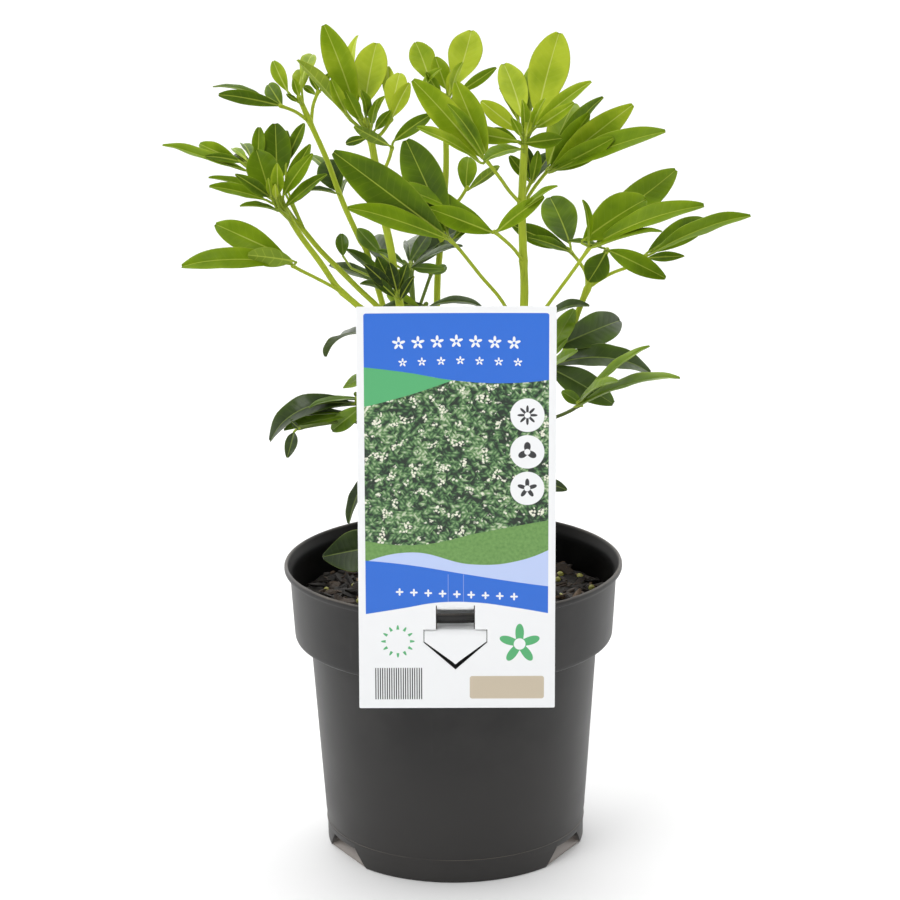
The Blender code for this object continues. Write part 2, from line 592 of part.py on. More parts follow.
def stem_route(stem):
    """From the root in the mix up through the route's points, whose depth goes over from the
    root's to the top's by height in the picture."""
    root = np.array((*stem.root, MIX_TOP))
    top_row = stem.route[0][1]
    points = []
    for x, y in stem.route[::-1]:
        share = (GROUND_ROW - y) / (GROUND_ROW - top_row)
        points.append(seen(x, y, root[1] + (stem.top_depth - root[1]) * share))
    away = unit(points[0] - root)
    foot = root - (away + np.array((0, 0, 1.0))) * ROOT_DEPTH / 2
    return smooth_route([foot, root] + points, STEM_STEP)


def blade_body(carrier, base, tip, width, facing, arch):
    """A leaflet on its own short stalk: four-sided rings at the carrier, the base and along the
    blade. facing points out of its upper face, and the edges stand up towards it by FOLD."""
    length = np.linalg.norm(tip - base)
    axis = (tip - base) / length
    upward = unit(facing - axis * (facing @ axis))

    def ring(centre, heading, half, fold, thick):
        side = unit(np.cross(heading, upward))
        normal = np.cross(side, heading)
        return [centre + side * half + normal * fold, centre + normal * thick / 2,
                centre - side * half + normal * fold, centre - normal * thick / 2]

    stalk = base - carrier
    if np.linalg.norm(stalk) > SHORT_STALK:
        lead = unit(stalk)
        rings = [ring(carrier - lead * SINK, lead, STALK_RADIUS, 0.0, 2 * STALK_RADIUS),
                 ring(base, unit(lead + axis), STALK_RADIUS, 0.0, 2 * STALK_RADIUS)]
    else:
        rings = [ring(carrier - axis * SINK, axis, STALK_RADIUS, 0.0, 2 * STALK_RADIUS)]
    for s in BLADE_STATIONS:
        centre = base + axis * length * s + upward * arch * length * 4 * s * (1 - s)
        half = width / 2 * math.sin(math.pi * s ** BLADE_SKEW) ** BLADE_FULLNESS
        rings.append(ring(centre, axis, half, FOLD * half, BLADE_THICKNESS))
    return loft("blade", rings, tip)


def line_points(route):
    """Points a millimetre apart along the straight runs of a route."""
    runs = [np.linspace(a, b, max(1, round(np.linalg.norm(b - a))), endpoint=False)
            for a, b in zip(route, route[1:])]
    return np.vstack(runs + [route[-1:]])


def place_blade(blade, carrier_line, depth):
    """Works out where a blade of the table lies and makes it. Its stalk leaves its carrier lower down."""
    base = seen(blade.base_x, blade.base_y, depth - blade.ahead)
    scale = np.linalg.norm(base - VIEW_POINT) / FOCAL
    shown = math.hypot(blade.tip_x - blade.base_x, blade.tip_y - blade.base_y) * scale
    width = blade.width * scale
    length = min(max(shown, width * SLENDER), max(shown, LONGEST))
    reach = blade.reach
    if reach is None:
        reach = min(math.sqrt(max(length ** 2 - shown ** 2, 0.0)), REACH_LIMIT * shown)
        if (blade.tip_y < blade.base_y) == blade.under:
            reach = -reach
        reach -= SPREAD * blade.ahead
    tip = seen(blade.tip_x, blade.tip_y, base[1] + reach)
    axis = unit(tip - base)
    length = np.linalg.norm(tip - base)
    toward = -VIEW_AXIS - axis * (-VIEW_AXIS @ axis)
    toward = unit(toward) * (-1.0 if blade.under else 1.0)
    real_width = max(width, length / SLENDER_LIMIT)
    roll = math.acos(min(1.0, width / real_width))
    side = np.cross(axis, toward)
    facings = [math.cos(roll) * toward + sign * math.sin(roll) * side for sign in (1, -1)]
    facing = max(facings, key=lambda normal: normal[2])
    gaps = np.linalg.norm(carrier_line - base, axis=1)
    nearest = int(np.argmin(gaps))
    lower = int(gaps[nearest] * STALK_DROP)
    return blade_body(carrier_line[max(nearest - lower, 0)], base, tip, real_width, facing, blade.arch)


def leaf_stalk(route):
    """A leaf's stalk, which ends in the swollen hub that its leaflets leave from."""
    last = unit(route[-1] - route[-2])
    route = np.vstack((route[:-1], route[-1] - last * HUB_LENGTH, route[-1] + last * HUB_LENGTH))
    radii = [LEAF_STALK_RADIUS] * (len(route) - 2) + [HUB_RADIUS] * 2
    return tube("leaf_stalk", route, radii, 5)


def make_stem(stem):
    """One body of the stem, its leaf stalks and its leaflets. Returns its width and route."""
    route = stem_route(stem)
    radii = stem.width / 2 * np.linspace(1.0, STEM_TAPER, len(route))
    pieces = [tube("stem", route, radii, 6)]
    line = line_points(route)
    for blade in stem.tuft:
        beside = min(line, key=lambda p: np.linalg.norm(seen(blade.base_x, blade.base_y, p[1]) - p))
        pieces.append(place_blade(blade, line, beside[1]))
    for leaf in stem.leaves:
        start = leaf.route[0]
        nearest = min(line, key=lambda p: np.linalg.norm(seen(*start, p[1]) - p))
        steps = np.linspace(nearest[1], leaf.depth, len(leaf.route))
        points = [nearest] + [seen(x, y, d) for (x, y), d in zip(leaf.route[1:], steps[1:])]
        stalk = smooth_route(points, LEAF_STALK_STEP)
        pieces.append(leaf_stalk(stalk))
        pieces += [place_blade(blade, stalk[-1:], leaf.depth) for blade in leaf.blades]
    made = fuse(stem.name, pieces)
    paint(made, (0.16, 0.30, 0.04), 0.42)
    return stem.width, route


def make_back_shoot():
    """A leaning stem with pairs of three-part leaves that point to the back, wide and narrow in turn."""
    draw = random.Random(BACK_SEED)
    root = np.array((*BACK_ROOT, MIX_TOP))
    top = np.array(BACK_TOP)
    foot = root - (unit(top - root) + np.array((0, 0, 1.0))) * ROOT_DEPTH / 2
    middle = (root + top) / 2 + np.array((0, 5.0, 0))
    route = smooth_route([foot, root, middle, top], BACK_STEP)
    pieces = [tube("stem", route, BACK_WIDTH / 2 * np.linspace(1.0, STEM_TAPER, len(route)), 6)]
    for pair in range(BACK_PAIRS):
        joint = route[len(route) - 1 - 2 * pair]
        for turn in (-1, 1):
            angle = math.pi / 2 + turn * (0.35 + 0.45 * (pair % 2)) + draw.uniform(-0.15, 0.15)
            out = unit(np.array((math.cos(angle), math.sin(angle), draw.uniform(0.3, 0.6))))
            hub = joint + out * BACK_STALK
            pieces.append(leaf_stalk(np.array((joint, hub))))
            for spread in (-BACK_FAN, 0.0, BACK_FAN):
                length = draw.uniform(*BACK_LEAFLETS) * (1.0 if spread == 0.0 else BACK_SIDE_SHARE)
                aim = unit(np.array((math.cos(angle + spread), math.sin(angle + spread),
                                     draw.uniform(-0.1, 0.4))))
                facing = np.array((-0.3 * math.cos(angle), -0.3 * math.sin(angle), 1.0))
                base = hub + aim * HUB_RADIUS
                pieces.append(blade_body(hub, base, base + aim * length, length / SLENDER, facing, 2 * ARCH))
    paint(fuse("shoot_back", pieces), (0.10, 0.20, 0.04), 0.42)
    return BACK_WIDTH, route


for existing in list(bpy.data.objects):
    bpy.data.objects.remove(existing)
make_pot()
stem_routes = [make_stem(stem) for stem in STEMS]
stem_routes.append(make_back_shoot())
make_mix(stem_routes)
make_label()
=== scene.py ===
"""Potted Mexican orange blossom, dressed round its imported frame.

Sizes are in millimetres and every mesh is scaled by MM as it is made. The frame is the part's own:
the pot stands on Z = 0 with its axis on Z, and the label faces -Y. Leaflets and stems lie where
they show in a 900 x 900 picture taken from the front, each at a depth (Y) of its own.
"""

import logging
import math
import random
from dataclasses import dataclass, field
from enum import Enum
from functools import partialmethod

import bpy
import numpy as np
from mathutils import Matrix
from numpy.linalg import norm

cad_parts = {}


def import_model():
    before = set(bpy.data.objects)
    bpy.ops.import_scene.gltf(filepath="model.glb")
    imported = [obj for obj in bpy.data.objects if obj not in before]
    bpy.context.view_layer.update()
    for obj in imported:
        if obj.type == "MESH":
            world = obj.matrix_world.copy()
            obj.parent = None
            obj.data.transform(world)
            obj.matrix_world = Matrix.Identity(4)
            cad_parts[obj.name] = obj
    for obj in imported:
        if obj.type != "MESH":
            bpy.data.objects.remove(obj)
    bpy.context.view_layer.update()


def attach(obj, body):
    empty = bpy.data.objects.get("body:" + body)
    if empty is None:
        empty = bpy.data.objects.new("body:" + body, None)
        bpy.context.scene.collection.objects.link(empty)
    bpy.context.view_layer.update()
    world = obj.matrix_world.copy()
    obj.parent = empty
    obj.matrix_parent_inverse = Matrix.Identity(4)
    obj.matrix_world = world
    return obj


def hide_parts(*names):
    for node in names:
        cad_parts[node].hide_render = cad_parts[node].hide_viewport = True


MM = 0.001
LOG = logging.getLogger("orange_blossom")
Array = np.ndarray
Socket = bpy.types.NodeSocket
Colour = tuple[float, float, float]
Place = tuple[float, float, float]
Pair = tuple[float, float]
Material = bpy.types.Material
Tree = bpy.types.NodeTree
Piece = bpy.types.Object
Draw = np.random.Generator


class Age(Enum):
    """How old a leaf is: the tone that its finish reads, 0 for the darkest and 1 for the freshest."""

    OLD = 0.06
    DARK = 0.24
    GROWN = 0.44
    GREEN = 0.58
    YOUNG = 0.76
    FRESH = 0.94


class Smooth(Enum):
    """How a mesh is shaded: round all over, or round between edges sharper than an angle."""

    ROUND = 180.0
    CREASED = 32.0


# ---------------------------------------------------------------- shapes as arrays


def unit(vectors: Array) -> Array:
    """Vectors scaled to length 1 along the last axis."""
    return vectors / norm(vectors, axis=-1, keepdims=True)


def ease(values: Array | float) -> Array:
    """The smooth step 3t^2 - 2t^3 of values held between 0 and 1."""
    t = np.clip(values, 0.0, 1.0)
    return t * t * (3.0 - 2.0 * t)


def turned(first: Array, second: Array, angle: Array) -> tuple[Array, Array]:
    """Two coordinates of each body's points, turned by the body's angle from first to second."""
    c, s = np.cos(angle)[:, None, None], np.sin(angle)[:, None, None]
    return c * first - s * second, s * first + c * second


def smooth_route(points: Array, step: float) -> Array:
    """A Catmull-Rom curve through points.

    Args:
        points: the points it passes through, (n, 3) or (n, 2).
        step: about how far apart it is read, in mm.

    Returns:
        The points read, ends included.
    """
    points = np.asarray(points, float)
    ends = np.vstack((2 * points[0] - points[1], points, 2 * points[-1] - points[-2]))
    runs = []
    for before, start, end, after in zip(ends, ends[1:], ends[2:], ends[3:]):
        count = max(1, round(float(norm(end - start)) / step))
        t = (np.arange(count) / count)[:, None]
        runs.append(start + 0.5 * t * (end - before + t * (
            2 * before - 5 * start + 4 * end - after + t * (3 * (start - end) + after - before))))
    return np.vstack(runs + [points[-1:]])


def lattice_noise(x: Array, y: Array, size: float, seed: int) -> Array:
    """Value noise: random heights on a square lattice, blended between its corners by ease.

    Args:
        x, y: where it is read, in mm.
        size: the lattice's spacing in mm.
        seed: of the random heights.

    Returns:
        Heights from -1 to 1.
    """
    grid = np.random.default_rng(seed).uniform(-1.0, 1.0, (64, 64))
    column, row = np.floor(x / size).astype(int), np.floor(y / size).astype(int)
    across, up = ease(x / size - column), ease(y / size - row)
    near = grid[row % 64, column % 64] * (1 - across) + grid[row % 64, (column + 1) % 64] * across
    far = grid[(row + 1) % 64, column % 64] * (1 - across) + grid[(row + 1) % 64, (column + 1) % 64] * across
    return near * (1 - up) + far * up


@dataclass
class Shell:
    """A mesh as arrays: points in mm, faces with three or four corners, and values at its points."""

    points: Array
    quads: Array
    triangles: Array
    values: dict[str, Array] = field(default_factory=dict)
    uv: Array | None = None
    finish: int = 0

    def with_value(self, name: str, value: float | Array) -> "Shell":
        """Gives every point a value under a name, and returns the shell."""
        self.values[name] = np.broadcast_to(np.asarray(value, float), (len(self.points),)).copy()
        return self


def lofted(rings: Array, finish: int = 0) -> Shell:
    """Closed bodies through rings of points: side faces between rings, and a fan at each end.

    Args:
        rings: (bodies, rows, sides, 3), each ring running clockwise seen along the rows.
        finish: index of the material.

    Returns:
        One shell that holds every body. Its points run body by body: the rings, then the two ends.
    """
    bodies, rows, sides = rings.shape[:3]
    ends = np.stack((rings[:, 0].mean(axis=1), rings[:, -1].mean(axis=1)), axis=1)
    points = np.concatenate((rings.reshape(bodies, rows * sides, 3), ends), axis=1)
    row, side = np.meshgrid(np.arange(rows - 1), np.arange(sides), indexing="ij")
    after = (side + 1) % sides
    quads = np.stack((row * sides + side, row * sides + after, (row + 1) * sides + after,
                      (row + 1) * sides + side), axis=-1).reshape(-1, 4)
    i = np.arange(sides)
    start, last = rows * sides, (rows - 1) * sides
    first_fan = np.stack(((i + 1) % sides, i, np.full(sides, start)), axis=-1)
    last_fan = np.stack((last + i, last + (i + 1) % sides, np.full(sides, start + 1)), axis=-1)
    triangles = np.vstack((first_fan, last_fan))
    shift = (np.arange(bodies) * points.shape[1])[:, None, None]
    return Shell(points.reshape(-1, 3), (quads + shift).reshape(-1, 4),
                 (triangles + shift).reshape(-1, 3), finish=finish)


def joined(shells: list[Shell]) -> tuple[Shell, Array]:
    """One shell of many. Values that a shell lacks are 0 there.

    Args:
        shells: the shells, in order.

    Returns:
        The shell, and the material index of each face (quads first).
    """
    offsets = np.cumsum([0] + [len(s.points) for s in shells[:-1]])
    names = sorted({name for s in shells for name in s.values})
    values = {name: np.concatenate([s.values.get(name, np.zeros(len(s.points))) for s in shells])
              for name in names}
    uv = None
    if any(s.uv is not None for s in shells):
        uv = np.vstack([np.zeros((len(s.points), 2)) if s.uv is None else s.uv for s in shells])
    whole = Shell(np.vstack([s.points for s in shells]),
                  np.vstack([s.quads + o for s, o in zip(shells, offsets)]),
                  np.vstack([s.triangles + o for s, o in zip(shells, offsets)]), values, uv)
    finishes = np.concatenate([np.full(len(s.quads), s.finish) for s in shells]
                              + [np.full(len(s.triangles), s.finish) for s in shells])
    return whole, finishes


def tube(route: Array, radii: Array, sides: int = 12, finish: int = 0) -> Shell:
    """A round bar: each ring is centre + radius (cos a * side + sin a * up), square to the route.

    Args:
        route: (n, 3) centres.
        radii: (n,) radii.
        sides: points in a ring.
        finish: index of the material.

    Returns:
        A closed shell with the length run so far as its value "along".
    """
    heading = unit(np.gradient(route, axis=0))
    least = np.eye(3)[int(np.argmin(np.abs(heading.mean(axis=0))))]
    side = unit(np.cross(heading, least))
    up = np.cross(side, heading)
    turn = -np.arange(sides) * 2 * math.pi / sides
    offset = np.cos(turn)[None, :, None] * side[:, None] + np.sin(turn)[None, :, None] * up[:, None]
    shell = lofted((route[:, None] + radii[:, None, None] * offset)[None], finish)
    run = np.concatenate(([0.0], np.cumsum(norm(np.diff(route, axis=0), axis=1))))
    return shell.with_value("along", np.concatenate((np.repeat(run, sides), (run[0], run[-1]))))


def mesh_object(name: str, shells: list[Shell], finishes: list[Material],
                smooth: Smooth = Smooth.ROUND) -> Piece:
    """Puts shells into one mesh object at the origin, with its values, UV map and materials.

    Args:
        name: of the object and its mesh.
        shells: what it holds.
        finishes: its materials, in the order of the shells' indices.
        smooth: how it is shaded.

    Returns:
        The object, linked to the scene.
    """
    whole, indices = joined(shells)
    mesh = bpy.data.meshes.new(name)
    faces = whole.quads.tolist() + whole.triangles.tolist()
    mesh.from_pydata((whole.points * MM).tolist(), [], faces)
    for key, values in whole.values.items():
        mesh.attributes.new(key, "FLOAT", "POINT").data.foreach_set("value", values.astype(np.float32))
    if whole.uv is not None:
        corners = np.empty(len(mesh.loops), dtype=np.int32)
        mesh.loops.foreach_get("vertex_index", corners)
        layer = mesh.uv_layers.new(name="surface")
        layer.data.foreach_set("uv", whole.uv[corners].astype(np.float32).ravel())
    for material in finishes:
        mesh.materials.append(material)
    mesh.polygons.foreach_set("material_index", indices.astype(np.int32))
    mesh.shade_smooth()
    if smooth is Smooth.CREASED:
        mesh.set_sharp_from_angle(angle=math.radians(smooth.value))
    mesh.update()
    made = bpy.data.objects.new(name, mesh)
    bpy.context.scene.collection.objects.link(made)
    return made


# ---------------------------------------------------------------- node trees


class Nodes:
    """Adds nodes to a tree. Each method adds what its name says and returns an output socket.

    scaled is a value times a factor plus a shift.
    """

    def __init__(self, tree: Tree) -> None:
        """Keeps the tree."""
        self.tree = tree

    def add(self, kind: str, inputs: dict | None = None, **settings: object) -> bpy.types.Node:
        """Adds a node.

        Args:
            kind: the node's type name.
            inputs: a value or socket for each input, by name or index.
            settings: the node's own properties.

        Returns:
            The node.
        """
        node = self.tree.nodes.new(kind)
        for key, value in settings.items():
            setattr(node, key, value)
        for key, value in (inputs or {}).items():
            self.feed(node.inputs[key], value)
        return node

    def feed(self, socket: Socket, value: object) -> None:
        """Links a socket to an input, or sets the input to a plain value or colour."""
        if isinstance(value, bpy.types.NodeSocket):
            self.tree.links.new(value, socket)
        elif isinstance(value, tuple) and len(value) == 3 and socket.type == "RGBA":
            socket.default_value = (*value, 1.0)
        else:
            socket.default_value = value

    def maths(self, operation: str, *values: object, clamp: bool = False) -> Socket:
        """One Math node."""
        return self.add("ShaderNodeMath", dict(enumerate(values)), operation=operation,
                        use_clamp=clamp).outputs[0]

    plus, minus = partialmethod(maths, "ADD"), partialmethod(maths, "SUBTRACT")
    times, scaled = partialmethod(maths, "MULTIPLY"), partialmethod(maths, "MULTIPLY_ADD")

    def mix(self, share: object, low: object, high: object) -> Socket:
        """A colour that goes from low to high as share goes from 0 to 1."""
        return self.add("ShaderNodeMix", {0: share, 6: low, 7: high}, data_type="RGBA").outputs[2]

    def step(self, value: object, low: float, high: float, start: float = 0.0, end: float = 1.0) -> Socket:
        """A smooth step of a value between low and high, put out between start and end."""
        return self.add("ShaderNodeMapRange", {0: value, 1: low, 2: high, 3: start, 4: end},
                        interpolation_type="SMOOTHSTEP").outputs[0]

    def ramp(self, value: Socket, stops: list[tuple[float, Colour]]) -> Socket:
        """A colour read from stops of (place, colour)."""
        node = self.add("ShaderNodeValToRGB", {0: value})
        bar = node.color_ramp.elements
        while len(bar) < len(stops):
            bar.new(0.5)
        for element, (place, colour) in zip(bar, stops):
            element.position = place
            element.color = (*colour, 1.0)
        return node.outputs[0]

    def curve(self, value: Socket, low: float, high: float, points: list[Pair]) -> Socket:
        """A height read from a smooth curve through points, over values from low to high.

        Args:
            value: what the curve is read at.
            low: the value at its left end.
            high: the value at its right end.
            points: (place from 0 to 1, height from 0 to 1).

        Returns:
            The height.
        """
        along = self.add("ShaderNodeMapRange", {0: value, 1: low, 2: high}).outputs[0]
        node = self.add("ShaderNodeFloatCurve", {1: along})
        line = node.mapping.curves[0]
        while len(line.points) < len(points):
            line.points.new(0.5, 0.5)
        for point, place in zip(line.points, sorted(points)):
            point.location = place
        node.mapping.update()
        return node.outputs[0]

    def noise(self, vector: Socket, scale: float, detail: float = 3.0, stretch: Colour = (1, 1, 1)) -> Socket:
        """Soft noise about 0.5 at a scale per unit of the vector, which is stretched first."""
        place = self.add("ShaderNodeVectorMath", {0: vector, 1: stretch}, operation="MULTIPLY").outputs[0]
        return self.add("ShaderNodeTexNoise", {"Vector": place, "Scale": scale, "Detail": detail}).outputs[0]

    def place(self) -> Socket:
        """Object coordinates."""
        return self.add("ShaderNodeTexCoord").outputs["Object"]

    def surface(self) -> tuple[Socket, Socket]:
        """The two coordinates of the piece's own UV map."""
        uv = self.add("ShaderNodeUVMap", uv_map="surface").outputs[0]
        parts = self.add("ShaderNodeSeparateXYZ", {0: uv})
        return parts.outputs[0], parts.outputs[1]

    def value(self, name: str) -> Socket:
        """A value kept at the piece's points."""
        return self.add("ShaderNodeAttribute", attribute_name=name).outputs["Fac"]

    def bump(self, height: Socket, strength: float, distance: float) -> Socket:
        """A normal pushed by a height, whose full depth is a distance in mm."""
        return self.add("ShaderNodeBump", {"Height": height, "Strength": strength,
                                           "Distance": distance * MM}).outputs[0]


def new_group(name: str, inputs: dict[str, float], outputs: list[str]) -> tuple[Tree, Nodes]:
    """An empty shader node group of number inputs and outputs.

    Args:
        name: of the group.
        inputs: each input's name and default.
        outputs: each output's name.

    Returns:
        The group and a builder for it.
    """
    group = bpy.data.node_groups.new(name, "ShaderNodeTree")
    for key, default in inputs.items():
        group.interface.new_socket(key, in_out="INPUT", socket_type="NodeSocketFloat").default_value = default
    for key in outputs:
        group.interface.new_socket(key, in_out="OUTPUT", socket_type="NodeSocketFloat")
    return group, Nodes(group)


def new_material(name: str) -> tuple[Material, Nodes, bpy.types.Node]:
    """A material that holds one Principled shader.

    Args:
        name: of the material.

    Returns:
        The material, a builder for its tree, and its shader.
    """
    material = bpy.data.materials.new(name)
    material.use_nodes = True
    return material, Nodes(material.node_tree), material.node_tree.nodes["Principled BSDF"]


# ---------------------------------------------------------------- viewpoint


@dataclass(frozen=True)
class Viewpoint:
    """The picture's view: pixels from its centre go over to rays by the focal length and the roll."""

    focal: float = 3000.0
    middle: float = 450.0
    down: float = math.radians(15.66)
    roll: float = math.radians(-0.55)
    target: Place = (-0.87, 0.0, 168.5)
    distance: float = 1231.0
    lens: float = 120.0
    sensor: float = 36.0

    @property
    def axis(self) -> Array:
        """The direction of view."""
        return np.array((0.0, math.cos(self.down), -math.sin(self.down)))

    @property
    def up(self) -> Array:
        """Upwards in a level picture."""
        return np.array((0.0, math.sin(self.down), math.cos(self.down)))

    @property
    def eye(self) -> Array:
        """Where the camera stands."""
        return np.array(self.target) - self.distance * self.axis

    def seen(self, x: float, y: float, depth: float) -> Array:
        """The point at a depth (Y) that shows at a pixel.

        Args:
            x, y: the pixel, from the top left.
            depth: its Y in mm.

        Returns:
            The point in mm.
        """
        across, down = x - self.middle, y - self.middle
        level_x = math.cos(self.roll) * across + math.sin(self.roll) * down
        level_y = -math.sin(self.roll) * across + math.cos(self.roll) * down
        ray = self.axis + np.array((level_x, 0.0, 0.0)) / self.focal - self.up * level_y / self.focal
        return self.eye + ray * ((depth - self.eye[1]) / ray[1])

    def place_camera(self) -> None:
        """Puts the camera there, turned by the roll."""
        right = np.array((1.0, 0.0, 0.0))
        turned_right = math.cos(self.roll) * right + math.sin(self.roll) * self.up
        turned_up = math.cos(self.roll) * self.up - math.sin(self.roll) * right
        camera = bpy.data.objects.new("camera", bpy.data.cameras.new("camera"))
        camera.data.lens = self.lens
        camera.data.sensor_width = self.sensor
        basis = np.eye(4)
        basis[:3, 0], basis[:3, 1], basis[:3, 2] = turned_right, turned_up, -self.axis
        basis[:3, 3] = self.eye * MM
        camera.matrix_world = Matrix(basis.tolist())
        bpy.context.scene.collection.objects.link(camera)
        bpy.context.scene.camera = camera


VIEW = Viewpoint()


# ---------------------------------------------------------------- finishes


def vein_group() -> Tree:
    """Leaf veins: a tapering midrib, and side veins that leave it forwards and curve to the tip.

    A side vein lies where (along - 0.75 across + 0.02 across^2) is a whole number of spacings.
    """
    group, nodes = new_group("Leaf veins", {"Along": 0, "Across": 0, "Share": 0, "Rim": 0, "Spacing": 3.4,
                                            "Wander": 0.5}, ["Midrib", "Side veins", "Quilt"])
    give = nodes.add("NodeGroupInput").outputs
    across = nodes.maths("ABSOLUTE", give["Across"])
    bend = nodes.times(nodes.times(across, across), 0.02)
    swept = nodes.plus(nodes.scaled(across, -0.75, give["Along"]), bend)
    swept = nodes.plus(swept, give["Wander"])
    turn = nodes.maths("FRACT", nodes.maths("DIVIDE", swept, give["Spacing"]))
    from_vein = nodes.maths("ABSOLUTE", nodes.minus(turn, 0.5))
    line = nodes.step(from_vein, 0.40, 0.49)
    fade = nodes.times(nodes.step(give["Rim"], 0.70, 0.98, 1.0, 0.0),
                       nodes.step(give["Share"], 0.86, 0.98, 1.0, 0.0))
    half = nodes.scaled(give["Share"], -0.24, 0.38)
    rib = nodes.maths("DIVIDE", across, half)
    put = nodes.add("NodeGroupOutput").inputs
    nodes.feed(put["Midrib"], nodes.step(rib, 0.45, 1.25, 1.0, 0.0))
    nodes.feed(put["Side veins"], nodes.times(line, fade))
    nodes.feed(put["Quilt"], nodes.times(nodes.step(from_vein, 0.0, 0.5, 1.0, 0.0), fade))
    return group


@dataclass(frozen=True)
class LeafFinish:
    """A waxy leaf. Its green goes over from stop to stop by the leaf's tone and soft blotches."""

    name: str
    greens: tuple[tuple[float, Colour], ...]
    rib: Colour
    underside: Colour
    gloss: float
    shine: float
    stalk: Colour = (0.270, 0.350, 0.030)
    side_veins: float = 0.05
    fresh_rib: Colour = (0.640, 0.700, 0.190)

    def build(self, veins: Tree) -> Material:
        """Builds the material around the vein group."""
        material, nodes, shader = new_material(self.name)
        along, across = nodes.surface()
        place = nodes.place()
        share, rim, upper, tone = (nodes.value(key) for key in ("share", "rim", "upper", "tone"))
        blotch = nodes.noise(place, 70.0)
        fine = nodes.noise(place, 900.0, 2.0)
        wander = nodes.scaled(nodes.noise(place, 160.0, 1.0), 1.2, nodes.times(tone, 9.0))
        lines = nodes.add("ShaderNodeGroup", node_tree=veins)
        for key, value in (("Along", along), ("Across", across), ("Share", share), ("Rim", rim),
                           ("Wander", wander)):
            nodes.feed(lines.inputs[key], value)
        rib, side, quilt = (lines.outputs[i] for i in range(3))
        patchy = nodes.scaled(blotch, 0.60, -0.30)
        fresh = nodes.plus(nodes.plus(tone, patchy), nodes.step(rim, 0.5, 1.0, 0.0, 0.10), clamp=True)
        green = nodes.ramp(fresh, list(self.greens))
        pale = nodes.mix(nodes.step(fresh, 0.6, 0.95), self.rib, self.fresh_rib)
        green = nodes.mix(nodes.times(side, self.side_veins), green, pale)
        green = nodes.mix(nodes.times(rib, 0.60), green, pale)
        green = nodes.mix(nodes.step(rim, 0.93, 1.0, 0.0, 0.45), green, self.rib)
        below = nodes.mix(nodes.times(nodes.plus(rib, side, clamp=True), 0.5), self.underside, self.rib)
        below = nodes.mix(0.45, below, green)
        skin = nodes.mix(upper, below, green)
        skin = nodes.mix(nodes.step(share, 0.0, 0.05, 1.0, 0.0), skin, self.stalk)
        nodes.feed(shader.inputs["Base Color"], skin)
        dull = nodes.scaled(fine, 0.16, self.gloss - 0.08)
        nodes.feed(shader.inputs["Roughness"], nodes.plus(dull, nodes.scaled(upper, -0.16, 0.16)))
        height = nodes.scaled(quilt, 0.22, nodes.times(blotch, 1.6))
        height = nodes.scaled(fine, 0.12, height)
        nodes.feed(shader.inputs["Normal"], nodes.bump(height, 0.5, 0.35))
        shader.inputs["Specular IOR Level"].default_value = self.shine
        return material


@dataclass(frozen=True)
class BarkFinish:
    """Green bark: brown at the soil, yellow green above, with fine streaks along it."""

    name: str
    foot: Colour = (0.070, 0.060, 0.028)
    lower: Colour = (0.170, 0.220, 0.020)
    upper: Colour = (0.350, 0.430, 0.028)

    def build(self) -> Material:
        """Builds the material. Height over the soil sets the colour."""
        material, nodes, shader = new_material(self.name)
        place = nodes.place()
        height = nodes.add("ShaderNodeSeparateXYZ", {0: place}).outputs[2]
        streak = nodes.noise(place, 1400.0, 3.0, (1.0, 1.0, 0.08))
        blotch = nodes.noise(place, 120.0)
        level = nodes.plus(nodes.step(height, 0.100, 0.280), nodes.scaled(blotch, 0.5, -0.25), clamp=True)
        skin = nodes.ramp(level, [(0.0, self.foot), (0.30, self.lower), (0.75, self.upper)])
        skin = nodes.mix(nodes.step(streak, 0.52, 0.72, 0.0, 0.45), skin, self.lower)
        nodes.feed(shader.inputs["Base Color"], skin)
        nodes.feed(shader.inputs["Roughness"], nodes.scaled(streak, 0.25, 0.36))
        nodes.feed(shader.inputs["Normal"], nodes.bump(streak, 0.5, 0.25))
        shader.inputs["Specular IOR Level"].default_value = 0.15
        return material


